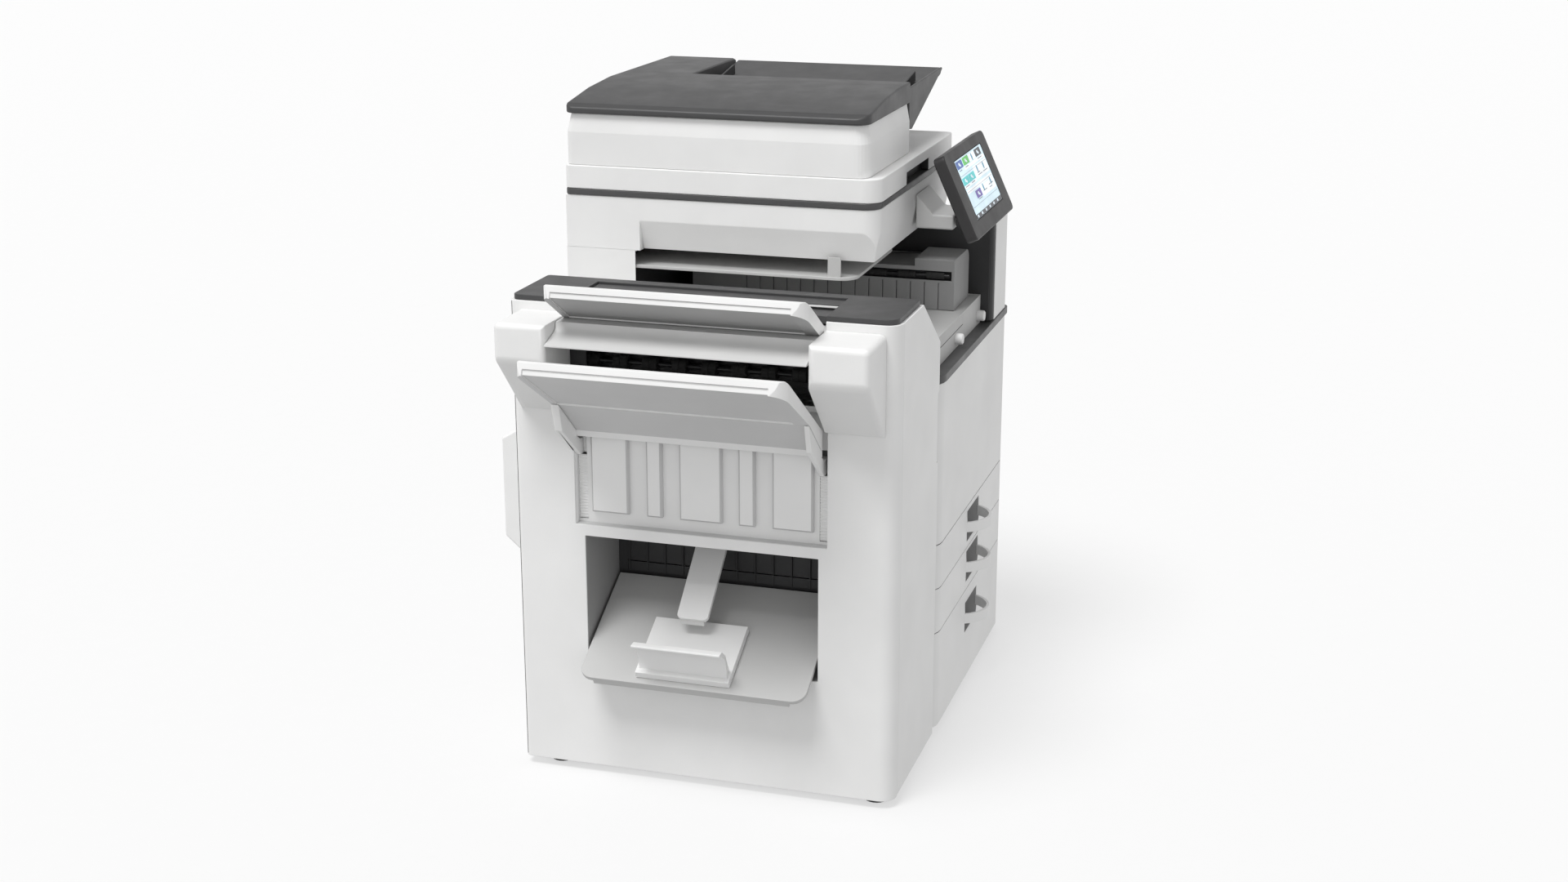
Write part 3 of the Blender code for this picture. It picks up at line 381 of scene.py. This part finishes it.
def dress_finisher_shell():
    """White outside; everything behind the cover thickness is the dark inner frame."""
    refine("finisher_shell", [WHITE, INNER], 0.0012,
           paint=lambda f: int(inner_skin(f, (0.0029, 0.0029, 0.0029), (0.298, 0.6821, 0.8421))))
    refine("finisher_door", [WHITE, SHADE], 0.0015, paint=lambda f: int(f.calc_center_median().y > 0.01))
    refine("finisher_base", [PAINTED], 0.0010)
    refine("finisher_rear_cover", [WHITE], 0.0040)
    for name, (low, high) in zip(("front", "rear"), SLOT_Y):
        guide = box_mesh((0.0395, low - 0.002, 0.448), (0.0425, high + 0.002, 0.690))
        wall = low - 0.002 if name == "front" else high
        box_mesh((0.0240, wall, 0.448), (0.0393, wall + 0.002, 0.690), guide)
        piece(f"lift_guide_{name}", round_edges(guide, 0.0005), "main", [GREY])
        folds = [(0.0200 if k % 2 else 0.0216, 0.4590 + 0.1155 * k / 44) for k in range(45)]
        belt = prism_mesh(folds + [(x + 0.0007, z) for x, z in reversed(folds)], "Y",
                          low + 0.0004, high - 0.0004)
        strip = piece(f"slot_bellows_{name}", belt, "main", [FENCE_LIT])
        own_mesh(strip)


def dress_shoulders():
    """Rounded covers beside the trays."""
    side = [(-0.110, 0.831), (-0.0004, 0.831), (-0.0004, 0.657), (-0.006, 0.659), (-0.110, 0.765)]
    for node, low, high in (("shoulder_front", 0.022, 0.1243), ("shoulder_rear", 0.5757, 0.668)):
        bm = prism_mesh(side, "Y", low, high)
        outer, inner = ((low, high) if node == "shoulder_front" else (high, low))

        def soft(edge, outer=outer):
            mid = (edge.verts[0].co + edge.verts[1].co) / 2
            return mid.x < -0.004 and (abs(mid.y - outer) < 0.001 or abs(mid.x + 0.110) < 0.001)

        round_edges(bm, 0.011, 6, where=soft)
        round_edges(bm, 0.0012, 3)
        piece(node + "_skin", bm, "main", [WHITE], node)


def tray_recess(top, corner, crease, depth, low, high):
    """Cutter that sinks the lower half of a tray's lip and its underside behind a raised rim."""
    top, corner, crease = Vector(top), Vector(corner), Vector(crease)
    lip, under = (top - corner).normalized(), (crease - corner).normalized()
    lip_out, under_out = Vector((-lip.y, lip.x)), Vector((under.y, -under.x))
    start = corner.lerp(top, 0.52)
    end = corner.lerp(crease, 0.985)
    shared = corner - depth * (lip_out + under_out) / (1 + lip_out.dot(under_out))
    over = 0.004
    outline = [start + lip_out * over, start - lip_out * depth, shared, end - under_out * depth,
               end + under_out * over, corner + (lip_out + under_out) * over]
    return prism_mesh(outline, "Y", low, high)


def dress_tray(node, recess, under):
    bm = carve(node_mesh(node), recess)
    round_edges(bm, 0.0007, 3)
    for face in bm.faces:
        # Downward-facing faces take the darker material: painted shade under the tray
        face.material_index = int(face.normal.z < -0.4)
    return piece(node + "_skin", bm, body_of(node), [WHITE, under], node)


def dress_trays():
    dress_tray("proof_tray", tray_recess((-0.109, 0.900), (-0.1165, 0.880), (-0.030, 0.8285), 0.0024,
                                         BAY_Y[0] + 0.026, BAY_Y[1] - 0.014), PROOF_UNDERSIDE_SHADE)
    dress_tray("shift_tray", tray_recess((-0.2135, 0.797), (-0.2215, 0.7755), (-0.077, 0.689), 0.0028,
                                         0.1560, 0.5690), UNDERSIDE_SHADE)
    refine("tray_carriage", [WHITE], 0.0015)
    beam = rounded([(-0.113, 0.797), (-0.113, 0.7995), (-0.060, 0.815), (-0.060, 0.828), (0.003, 0.828),
                    (0.1395, 0.820), (0.1395, 0.816), (-0.054, 0.822), (-0.054, 0.797)],
                   [0, 0, 0.018, 0.002, 0, 0, 0, 0, 0], 8)
    guide = prism_mesh(beam, "Y", BAY_Y[0] + 0.0006, BAY_Y[1] - 0.0006)
    round_edges(guide, 0.0006, 2)
    # Exit guide in the greyed white: painted shade under the proof tray
    piece("exit_guide_skin", guide, "main", [BEAM], "exit_guide", smooth=25.0)
    # Pad sides and bevels take the darker white: painted shade under the shift tray
    refine("stack_fence", [FENCE_LIT, SHADE], 0.0034, 1,
           where=lambda e: abs((e.verts[0].co + e.verts[1].co).x / 2 - 0.009) < 0.0005,
           paint=lambda f: int(f.calc_center_median().x < 0.0190 and 0.13 < f.calc_center_median().y < 0.56
                               and f.normal.x > -0.9))
    low, high = BAY_Y[0] + 0.0008, BAY_Y[1] - 0.0008
    surround = box_mesh((-0.0030, 0.5450, 0.7000), (-0.0003, high, 0.7965))
    box_mesh((-0.0030, low, 0.7000), (-0.0003, 0.1350, 0.7965), surround)
    piece("exit_surround", round_edges(surround, 0.0008), "main", [INNER])
    baffle = box_mesh((0.0500, 0.1200, 0.6960), (0.0530, 0.5700, 0.8000))
    for k in range(9):
        box_mesh((0.0470, 0.1220, 0.7040 + 0.0105 * k), (0.0502, 0.5680, 0.7062 + 0.0105 * k), baffle)
    piece("exit_baffle", round_edges(baffle, 0.0005), "main", [BLACK])


def dress_channel():
    """Sheet channel let into the top cover: a raised dark deck, a bright guide edge and a lower plate."""
    refine("top_cover", [DARK], 0.0012)
    low, high = BAY_Y[0] + 0.001, BAY_Y[1] - 0.001
    deck = round_edges(box_mesh((0.098, low, 0.829), (0.1365, high, 0.8505)), 0.0012)
    piece("channel_deck", deck, "main", [DARK])
    edge = round_edges(box_mesh((0.0945, low + 0.004, 0.8455), (0.0978, high - 0.10, 0.8485)), 0.0006)
    piece("channel_edge", edge, "main", [WHITE])
    plate = round_edges(box_mesh((0.050, low, 0.829), (0.0935, high, 0.8425)), 0.0012)
    piece("channel_plate", plate, "main", [EDGE])
    for i in range(6):
        y = 0.165 + 0.070 * i
        wheel = lathe_mesh([(0.0035, -0.011), (0.0055, -0.010), (0.0055, 0.010), (0.0035, 0.011)],
                           (0.044, y, 0.8335), "Y", 20)
        piece(f"channel_wheel_{i + 1}", wheel, "main", [RUBBER])


def dress_booklet():
    refine("booklet_bay", [BAY_SIDE, INNER], 0.0010, paint=lambda f: int(f.calc_center_median().x > 0.1505))
    flap = box_mesh((0.1578, 0.1560, 0.3172), (0.1595, 0.5390, 0.3348))
    for k in range(12):
        box_mesh((0.1560, 0.160 + 0.034 * k, 0.3172), (0.1590, 0.163 + 0.034 * k, 0.3362), flap)
    piece("booklet_exit_flap", round_edges(flap, 0.0004, 2), "main", [INNER])
    refine("booklet_tray", [BOOKLET_TRAY_SHADE], 0.0012)
    refine("booklet_stopper", [WHITE], 0.0009)
    refine("stapler", [GREY], 0.0020)
    pivot, tip = Vector((0.140, 0.3665, 0.406)), Vector((0.012, 0.3665, 0.293))
    length = (pivot - tip).length
    plan = rounded([(0, -0.0285), (length, -0.0285), (length, 0.0285), (0, 0.0285)], [0.009, 0, 0, 0.009])
    arm = prism_mesh(plan, "Z", -0.004, 0.004)
    round_edges(arm, 0.0012, 3)
    along = (pivot - tip).normalized()
    side = Vector((0, 1, 0))
    turn = Matrix((along, side, along.cross(side))).transposed().to_4x4()
    bmesh.ops.transform(arm, verts=arm.verts, matrix=Matrix.Translation(tip) @ turn)
    lathe_mesh([(0.006, -0.0345), (0.007, -0.0335), (0.007, 0.0335), (0.006, 0.0345)], pivot, "Y", 28, arm)
    foot = round_edges(box_mesh((0.013, 0.345, 0.283), (0.024, 0.388, 0.297)), 0.0015)
    piece("press_arm_skin", arm, "press_arm", [WHITE], "press_arm")
    piece("press_arm_pad", foot, "press_arm", [BEAM])


def ringed_roller(name, node, centre_x, centre_z, low, high, count, radius, fill, shaft=0.004):
    """Steel shaft with grooved rubber rollers on it."""
    bm = lathe_mesh([(shaft * 0.7, low), (shaft, low + 0.001), (shaft, high - 0.001), (shaft * 0.7, high)],
                    (centre_x, 0, centre_z), "Y", 20)
    pitch = (high - low) / count
    for i in range(count):
        mid, half = low + pitch * (i + 0.5), pitch * fill / 2
        profile = [(shaft * 0.9, mid - half), (radius * 0.85, mid - half), (radius, mid - half + 0.001)]
        rings = max(2, int(half * 2 / 0.009))
        for k in range(1, rings):
            groove = mid - half + 2 * half * k / rings
            profile += [(radius, groove - 0.0008), (radius * 0.93, groove - 0.0004),
                        (radius * 0.93, groove + 0.0004), (radius, groove + 0.0008)]
        profile += [(radius, mid + half - 0.001), (radius * 0.85, mid + half), (shaft * 0.9, mid + half)]
        start = len(bm.faces)
        lathe_mesh(profile, (centre_x, 0, centre_z), "Y", 24, bm)
        bm.faces.ensure_lookup_table()
        for face in bm.faces[start:]:
            face.material_index = 1
    return piece(name, bm, body_of(node), [BLACK, RUBBER], node)


def dress_rollers():
    ringed_roller("eject_roller_skin", "eject_roller", 0.034, 0.742, 0.045, 0.680, 12, 0.0118, 0.5)
    ringed_roller("pickup_roller_skin", "pickup_roller", 0.565, 1.092, 0.250, 0.560, 3, 0.0138, 0.45)
    ringed_roller("exit_roller_skin", "exit_roller", 0.5925, 0.8005, 0.050, 0.550, 9, 0.0063, 0.62, 0.0033)


# ------------------------------------------------------------------ copier cabinet
def dress_copier():
    refine("copier_shell", [WHITE, INNER], 0.0012,
           paint=lambda f: int(inner_skin(f, (COP_X0 + 0.0029, 0.046, 0.0035),
                                          (COP_X1 - 0.0029, 0.6991, 0.6601))))
    refine("copier_base", [PAINTED], 0.0010)
    # Front door's top and bottom faces in near black: painted shadow in the gaps above and below it
    refine("front_door", [WHITE, SEAM_SHADOW], 0.0008, paint=lambda f: int(abs(f.normal.z) > 0.9))
    for number in (1, 2, 3):
        # Drawer fronts: grip recess faces take the recess grey (painted shade); the large top and bottom
        # faces take the near black (painted shadow in the gaps)
        refine(f"drawer_{number}_front", [WHITE, SEAM_SHADOW, RECESS_SHADE], 0.0008,
               where=lambda e: e.calc_length() > 0.0028,
               paint=lambda f: 2 if inside(f, (0.5665, 0.0025, 0.0), (0.6735, 0.0245, 0.36)) else
               int(abs(f.normal.z) > 0.9 and f.calc_area() > 0.004))
        refine(f"drawer_{number}_tray", [GREY], 0.0008)
    refine("trim_band", [EDGE], 0.0012)
    refine("inner_panel", [GREY], 0.0008)
    caps = ((0.03, 0.03, 0.03), (0.02, 0.30, 0.45), (0.45, 0.04, 0.16), (0.60, 0.45, 0.04))
    for i, colour in enumerate(caps):
        cap = plastic(f"toner_cap_{i + 1}", colour, 0.4)
        refine(f"toner_cartridge_{i + 1}", [BLACK, cap], 0.0015,
               paint=lambda f: int(f.calc_center_median().y < 0.062))
    refine("bypass_tray", [WHITE], 0.0015)
    refine("power_switch", [BLACK], 0.0015)
    refine("power_inlet", [BLACK], 0.0008)


def dress_bay():
    tower = round_edges(node_mesh("tower_cover"), 0.0015, 3,
                        where=lambda e: max(v.co.z for v in e.verts) < 0.875)
    for vert in tower.verts:
        if vert.co.z > 0.8750:
            vert.co.z += 0.0006
    piece("tower_cover_skin", tower, "main", [WHITE], "tower_cover")
    refine("bay_liner", [INNER], 0.0010)
    refine("column_cover", [WHITE], 0.0015)
    # Faces along the joint between lid and base in near black: painted shadow in the seam
    refine("bridge_base", [BRIDGE_SHADE, SEAM_SHADOW], 0.0006,
           paint=lambda f: int(0.7105 < f.calc_center_median().z < 0.7125))
    refine("bridge_lid", [BRIDGE_SHADE, SEAM_SHADOW], 0.0008, paint=lambda f: int(f.calc_center_median().z < 0.7127))
    refine("exit_unit", [UNIT, INNER], 0.0012,
           paint=lambda f: int(inside(f, (0.5905, 0.046, 0.7915), (0.603, 0.555, 0.8095))
                               or (f.calc_area() < 0.0004 and f.normal.x < -0.9
                                   and 0.5910 < f.calc_center_median().x < 0.5925)))
    plan = rounded([(0.310, 0.160), (0.584, 0.160), (0.584, 0.6055), (0.310, 0.6055)], [0.032, 0, 0, 0], 8)
    sheet = round_edges(prism_mesh(plan, "Z", 0.843, 0.849), 0.0012, 3)
    round_edges(box_mesh((0.312, 0.186, 0.846), (0.316, 0.210, 0.884), sheet), 0.0010, 2,
                where=lambda e: max(v.co.z for v in e.verts) > 0.8835)
    piece("inner_tray_skin", sheet, "main", [BRIDGE_SHADE], "inner_tray")
    for side, x in (("left", 0.528), ("right", 0.722)):
        profile = [(0.0030, 0.0240), (0.0095, 0.0235), (0.0105, 0.0225), (0.0105, 0.0115), (0.0098, 0.0092),
                   (0.0080, 0.0080), (0.0060, 0.0086), (0.0035, 0.0088)]
        knob = lathe_mesh(profile, (x, 0, 0.698), "Y", 40)
        lathe_mesh([(0.0030, 0.0245), (0.0030, 0.533)], (x, 0, 0.698), "Y", 16, knob)
        lathe_mesh([(0.006, 0.085), (0.008, 0.087), (0.008, 0.483), (0.006, 0.485)],
                   (x, 0, 0.698), "Y", 24, knob)
        piece(f"bridge_knob_{side}_skin", knob, f"bridge_knob_{side}", [WHITE],
              f"bridge_knob_{side}")


# ------------------------------------------------------------------ scanner and feeder
def tapered_feeder():
    """Feeder body whose upper band leans inwards under the cover."""
    bm = node_mesh("feeder_body")
    crease, top = 1.086, 1.1190
    centre = Vector((0.46, 0.41, 0.0))
    bmesh.ops.bisect_plane(bm, geom=bm.verts[:] + bm.edges[:] + bm.faces[:], plane_co=(0, 0, crease),
                           plane_no=(0, 0, 1), dist=1e-6)
    for vert in bm.verts:
        reach = vert.co.x < 0.33 or vert.co.y < 0.16 or vert.co.y > 0.67
        if vert.co.z > crease + 0.001 and reach:
            lean = 0.0060 * (vert.co.z - crease) / (top - crease)
            vert.co.x += lean if vert.co.x < 0.33 else 0.0
            vert.co.y += (lean if vert.co.y < centre.y else -lean) if not 0.18 < vert.co.y < 0.65 else 0.0
    round_edges(bm, 0.0018, 3, angle=30.0)
    piece("feeder_body_skin", bm, "document_feeder", [WHITE], "feeder_body", smooth=6.0)


def dress_scanner():
    bm = round_edges(node_mesh("scanner_body"), 0.0016, 3, angle=17.0,
                     where=lambda e: not (e.verts[0].co.z < 0.8770 and e.verts[1].co.z < 0.8770
                                          and (e.verts[0].co + e.verts[1].co).y > 1.12))
    for face in bm.faces:
        face.material_index = int(inside(face, (0.33, 0.14, 0.89), (0.875, 0.665, 0.9715)))
    piece("scanner_body_skin", bm, "main", [WHITE, INNER], "scanner_body")
    refine("platen_frame", [EDGE], 0.0020)
    refine("exposure_glass", [GLASS], 0.0004)
    refine("scan_carriage", [BLACK], 0.0012)
    refine("platen_cover", [WHITE, FOAM, INNER], 0.0022,
           paint=lambda f: 2 if inside(f, (0.503, 0.116, 0.98), (0.682, 0.1305, 1.0085)) else
           int(inside(f, (0.332, 0.162, 0.98), (0.858, 0.658, 1.028))))
    tapered_feeder()
    refine("feeder_cover", [DARK], 0.0035)
    refine("document_tray", [DARK], 0.0020)
    refine("document_guide_front", [BLACK], 0.0008)
    refine("document_guide_rear", [BLACK], 0.0008)
    refine("panel_arm", [BEAM], 0.0040)


# ------------------------------------------------------------------ panel
def panel_frame():
    """Frame on the panel's face: x across, y up the face, z out towards the operator."""
    up = Vector((0, math.sin(PANEL_TILT), math.cos(PANEL_TILT)))
    across = Vector((1, 0, 0))
    turn = Matrix((across, up, across.cross(up))).transposed().to_4x4()
    return Matrix.Translation(PANEL_MID) @ turn


def tile_mesh(left, top, right, bottom, lift=-0.0002, radius=0.0012, bm=None):
    """Flat rounded tile on the display, placed by its fractions across and down the picture."""
    x0, x1 = (SCREEN_X * (2 * part - 1) for part in (left, right))
    y1, y0 = (SCREEN_TOP - SCREEN_TALL * part for part in (top, bottom))
    plan = rounded([(x0, y0), (x1, y0), (x1, y1), (x0, y1)], [radius] * 4, 3)
    return prism_mesh(plan, "Z", lift - 0.0001, lift, bm)


def on_panel(name, bm, mat):
    bmesh.ops.transform(bm, verts=bm.verts, matrix=panel_frame())
    return piece(name, bm, "panel", [mat])


def dress_panel():
    refine("panel_housing", [BEZEL], 0.0030)
    piece("panel_screen_skin", node_mesh("panel_screen"), "panel",
          [lit("display_ground", (0.66, 0.84, 0.93), 0.35)], "panel_screen")
    cards = bmesh.new()
    for left, right, top, bottom in ((0.235, 0.98, 0.175, 0.235), (0.48, 0.98, 0.26, 0.50),
                                     (0.02, 0.46, 0.47, 0.52), (0.02, 0.98, 0.55, 0.62),
                                     (0.47, 0.98, 0.63, 0.82), (0.48, 0.70, 0.03, 0.16)):
        tile_mesh(left, top, right, bottom, -0.0003, 0.002, cards)
    on_panel("display_cards", cards, lit("display_white", (0.92, 0.97, 1.0), 0.35))
    tiles = {
        "blue": ((0.016, 0.085, 0.36), [(0.015, 0.02, 0.225, 0.158)]),
        "green": ((0.075, 0.50, 0.065), [(0.250, 0.02, 0.460, 0.158)]),
        "cyan": ((0.05, 0.55, 0.56), [(0.015, 0.325, 0.230, 0.458), (0.240, 0.325, 0.455, 0.458)]),
        "purple": ((0.12, 0.065, 0.36), [(0.255, 0.645, 0.450, 0.785)]),
        "ink": ((0.012, 0.018, 0.030), [(0.715, 0.022, 0.920, 0.158), (0.0, 1.0, 1.0, 1.078)]),
    }
    for colour, (shade, spots) in tiles.items():
        bm = bmesh.new()
        for spot in spots:
            tile_mesh(*spot, -0.0001, 0.0008, bm)
        on_panel(f"display_{colour}", bm, lit(f"display_{colour}", shade, 0.35))
    marks = bmesh.new()
    for across, down in ((0.12, 0.09), (0.355, 0.09), (0.122, 0.39),
                         (0.348, 0.39), (0.352, 0.715), (0.818, 0.09)):
        tile_mesh(across - 0.030, down - 0.032, across + 0.012, down + 0.020, 0.0, 0.0008, marks)
        tile_mesh(across - 0.004, down + 0.002, across + 0.032, down + 0.040, 0.00005, 0.0008, marks)
    for i in range(6):
        across = 0.06 + 0.155 * i
        tile_mesh(across - 0.022, 1.015, across + 0.022, 1.060, 0.0, 0.0008, marks)
    on_panel("display_icons", marks, lit("display_icon_white", (0.74, 0.86, 0.95), 0.3))
    lines = bmesh.new()
    for left, down, reach in ((0.04, 0.185, 0.10), (0.27, 0.185, 0.11),
                              (0.04, 0.48, 0.14), (0.27, 0.48, 0.12),
                              (0.29, 0.80, 0.12), (0.74, 0.19, 0.15), (0.56, 0.44, 0.16), (0.76, 0.44, 0.16),
                              (0.52, 0.73, 0.14), (0.76, 0.70, 0.16), (0.76, 0.75, 0.10), (0.56, 0.40, 0.10)):
        tile_mesh(left, down, left + reach, down + 0.014, -0.0001, 0.0004, lines)
    for down in (0.285, 0.585, 0.87):
        tile_mesh(0.02, down, 0.97, down + 0.005, -0.00012, 0.0002, lines)
    on_panel("display_lines", lines, lit("display_line_grey", (0.20, 0.25, 0.31), 0.2))
    leaves = bmesh.new()
    for across, down in ((0.58, 0.10), (0.60, 0.34), (0.83, 0.35), (0.56, 0.68), (0.86, 0.66)):
        x, y = SCREEN_X * (2 * across - 1), SCREEN_TOP - SCREEN_TALL * down
        turn = [2 * math.pi * k / 14 for k in range(14)]
        prism_mesh([(x + 0.0045 * math.sin(t), y + 0.0075 * math.cos(t)) for t in turn], "Z",
                   -0.0002, -0.0001, leaves)
    on_panel("display_leaves", leaves, lit("display_leaf", (0.06, 0.28, 0.42), 0.3))


# ------------------------------------------------------------------ covers that the front view hides
def louvres(name, axis, plane, across, rows, pitch, out, mat, body="main"):
    """Field of slanted vent blades standing just proud of a cover; axis names the cover's normal."""
    bm = bmesh.new()
    for k in range(rows[1]):
        level = rows[0] + pitch * k
        if axis == "Y":
            blade = [(level, plane), (level + pitch * 0.55, plane), (level + pitch * 0.18, plane + out)]
            made = prism_mesh([(y, z) for z, y in blade], "X", across[0], across[1])
        else:
            blade = [(plane, level), (plane, level + pitch * 0.55), (plane + out, level + pitch * 0.18)]
            made = prism_mesh(blade, "Y", across[0], across[1])
        mesh = bpy.data.meshes.new("blade")
        made.to_mesh(mesh)
        made.free()
        bm.from_mesh(mesh)
        bpy.data.meshes.remove(mesh)
    return piece(name, bm, body, mat)


def screws(name, spots, axis, radius=0.0042, body="main"):
    """Pan-head screws with a cross recess, each head seated on its cover."""
    bm = bmesh.new()
    for spot in spots:
        spot = Vector(spot)
        depth = Vector((1, 0, 0)) if axis == "X" else Vector((0, 1, 0))
        profile = [(radius, -0.0003), (radius, 0.0004), (radius * 0.8, 0.0011), (radius * 0.3, 0.0013)]
        lathe_mesh(profile, spot, axis, 20, bm)
        for turn in (0.0, math.pi / 2):
            across, rise = math.cos(turn), math.sin(turn)
            reach = Vector((0, across, rise)) if axis == "X" else Vector((across, 0, rise))
            side = depth.cross(reach) * 0.0005
            start = spot + depth * 0.00125
            ring = [start + reach * radius * 0.6 + side, start - reach * radius * 0.6 + side,
                    start - reach * radius * 0.6 - side, start + reach * radius * 0.6 - side]
            lower = [bm.verts.new(p) for p in ring]
            upper = [bm.verts.new(p + depth * 0.0002) for p in ring]
            faces = [bm.faces.new(lower), bm.faces.new(upper)]
            faces += [bm.faces.new((lower[i], lower[(i + 1) % 4], upper[(i + 1) % 4], upper[i]))
                      for i in range(4)]
            bmesh.ops.recalc_face_normals(bm, faces=faces)
    return piece(name, bm, body, [STEEL])


def dress_rear():
    """Vents, cover joints, screws, connector plate and handles on the back and the right side."""
    back = COP_BACK
    for name, low, high in (("rear_cover_upper", 0.395, 0.655), ("rear_cover_lower", 0.060, 0.365)):
        bm = box_mesh((COP_X0 + 0.022, back - 0.0004, low), (COP_X1 - 0.022, back + 0.0020, high))
        piece(name, round_edges(bm, 0.0012, 2), "main", [SHADE])
    louvres("rear_vent_upper", "Y", back + 0.0020, (0.360, 0.520), (0.560, 9), 0.0085, 0.0022, GREY)
    louvres("rear_vent_lower", "Y", back + 0.0020, (0.690, 0.850), (0.560, 9), 0.0085, 0.0022, GREY)
    louvres("rear_vent_base", "Y", back + 0.0020, (0.420, 0.760), (0.090, 6), 0.0085, 0.0022, GREY)
    louvres("tower_vent", "Y", back, (0.400, 0.620), (0.720, 8), 0.0085, 0.0026, GREY)
    louvres("side_vent", "X", COP_X1, (0.575, 0.655), (0.560, 9), 0.0085, 0.0024, GREY)
    spots = [(x, back + 0.0020, z) for x in (COP_X0 + 0.035, COP_X1 - 0.035)
             for z in (0.075, 0.350, 0.410, 0.640)]
    spots += [(x, back, z) for x in (0.345, 0.861) for z in (0.690, 0.860)]
    screws("rear_screws", spots, "Y")
    screws("side_screws", [(COP_X1, y, z) for y in (0.180, 0.640) for z in (0.060, 0.380, 0.640)], "X")
    plate = box_mesh((0.600, back + 0.0018, 0.430), (0.780, back + 0.0030, 0.500))
    piece("connector_plate", round_edges(plate, 0.0006, 2), "main", [STEEL])
    ports = bmesh.new()
    for low, high in ((0.612, 0.629), (0.640, 0.654), (0.664, 0.678), (0.694, 0.730)):
        box_mesh((low, back + 0.0028, 0.452), (high, back + 0.0040, 0.467), ports)
    for k in range(5):
        box_mesh((0.742 + 0.006 * k, back + 0.0028, 0.440), (0.745 + 0.006 * k, back + 0.0036, 0.490), ports)
    piece("connector_ports", round_edges(ports, 0.0003, 2), "main", [BLACK])
    for name, low, high in (("front", 0.110, 0.230), ("rear", 0.490, 0.610)):
        grip = rounded([(low, 0.028), (high, 0.028), (high, 0.058), (low, 0.058)], [0.010] * 4, 6)
        frame_ring = prism_mesh(grip, "X", COP_X1 - 0.0004, COP_X1 + 0.0018)
        round_edges(frame_ring, 0.0006, 2)
        piece(f"side_handle_{name}_rim", frame_ring, "main", [SHADE])
        scoop = rounded([(low + 0.006, 0.033), (high - 0.006, 0.033),
                         (high - 0.006, 0.053), (low + 0.006, 0.053)], [0.007] * 4, 6)
        piece(f"side_handle_{name}_scoop", prism_mesh(scoop, "X", COP_X1 + 0.0015, COP_X1 + 0.0022), "main",
              [INNER])
    seam = bmesh.new()
    for z in (0.1860, 0.2725, 0.3580):
        box_mesh((COP_X1 - 0.0002, 0.0480, z), (COP_X1 + 0.0004, 0.0700, z + 0.0012), seam)
    box_mesh((COP_X1 - 0.0002, 0.0695, 0.010), (COP_X1 + 0.0004, 0.0707, 0.655), seam)
    box_mesh((COP_X1 - 0.0002, 0.6700, 0.010), (COP_X1 + 0.0004, 0.6712, 0.655), seam)
    piece("side_seams", seam, "main", [SEAM_SHADOW])
    screws("finisher_rear_screws",
           [(x, 0.6851, z) for x in (0.030, 0.270) for z in (0.060, 0.420, 0.760)], "Y")


# ------------------------------------------------------------------ set
def build_set():
    floor = bpy.data.meshes.new("floor")
    bm = bmesh.new()
    bmesh.ops.create_grid(bm, x_segments=1, y_segments=1, size=60.0)
    bm.to_mesh(floor)
    bm.free()
    ground = bpy.data.objects.new("floor", floor)
    paper = plastic("floor_paper", (0.33, 0.33, 0.33), 0.9, grain=0.0, tone=0.0)
    shader = next(n for n in paper.node_tree.nodes if n.type == "BSDF_PRINCIPLED")
    socket(shader, "Emission Color", (1.0, 1.0, 1.0, 1.0))
    socket(shader, "Emission Strength", 0.56)
    floor.materials.append(paper)
    bpy.context.scene.collection.objects.link(ground)
    ground.location.z = CAD_LOW.z - 0.0002
    ground.visible_diffuse = False

    world = bpy.data.worlds.new("studio")
    world.use_nodes = True
    tree = world.node_tree
    sky = tree.nodes["Background"]
    where = tree.nodes.new("ShaderNodeTexCoord")
    split = tree.nodes.new("ShaderNodeSeparateXYZ")
    fade = tree.nodes.new("ShaderNodeValToRGB")
    lift = tree.nodes.new("ShaderNodeMapRange")
    tree.links.new(where.outputs["Generated"], split.inputs["Vector"])
    tree.links.new(split.outputs["Z"], lift.inputs["Value"])
    socket(lift, "From Min", -1.0)
    tree.links.new(lift.outputs["Result"], fade.inputs["Fac"])
    for stop, (place, level) in zip((fade.color_ramp.elements[0], fade.color_ramp.elements.new(0.47),
                                     fade.color_ramp.elements.new(0.55), fade.color_ramp.elements[-1]),
                                    ((0.0, 0.46), (0.47, 0.64), (0.55, 0.84), (1.0, 0.36))):
        stop.position, stop.color = place, (level, level, level, 1.0)
    tree.links.new(fade.outputs["Color"], sky.inputs["Color"])
    sky.inputs["Strength"].default_value = 1.0
    bpy.context.scene.world = world

    for name, toward, power, spread in (("key", (0.34, -0.16, -0.82), 2.25, 26),):
        lamp = bpy.data.lights.new(name, "SUN")
        lamp.energy = power
        lamp.angle = math.radians(spread)
        lamp_obj = bpy.data.objects.new(name, lamp)
        lamp_obj.rotation_euler = Vector(toward).to_track_quat("-Z", "Y").to_euler()
        bpy.context.scene.collection.objects.link(lamp_obj)

    camera = bpy.data.cameras.new("camera")
    camera.lens, camera.sensor_width = 50.0, 36.0
    camera.clip_start, camera.clip_end = 0.05, 200.0
    view = bpy.data.objects.new("camera", camera)
    view.location = CORNER + Vector((-3.3248, -0.8098, 1.6807))
    view.rotation_euler = (math.radians(90 - 16.735), 0.0, math.radians(16.831 - 90))
    bpy.context.scene.collection.objects.link(view)
    bpy.context.scene.camera = view
    bpy.context.scene.view_settings.view_transform = "Standard"


dress_finisher_shell()
dress_shoulders()
dress_trays()
dress_channel()
dress_booklet()
dress_rollers()
dress_copier()
dress_bay()
dress_scanner()
dress_panel()
dress_rear()
build_set()
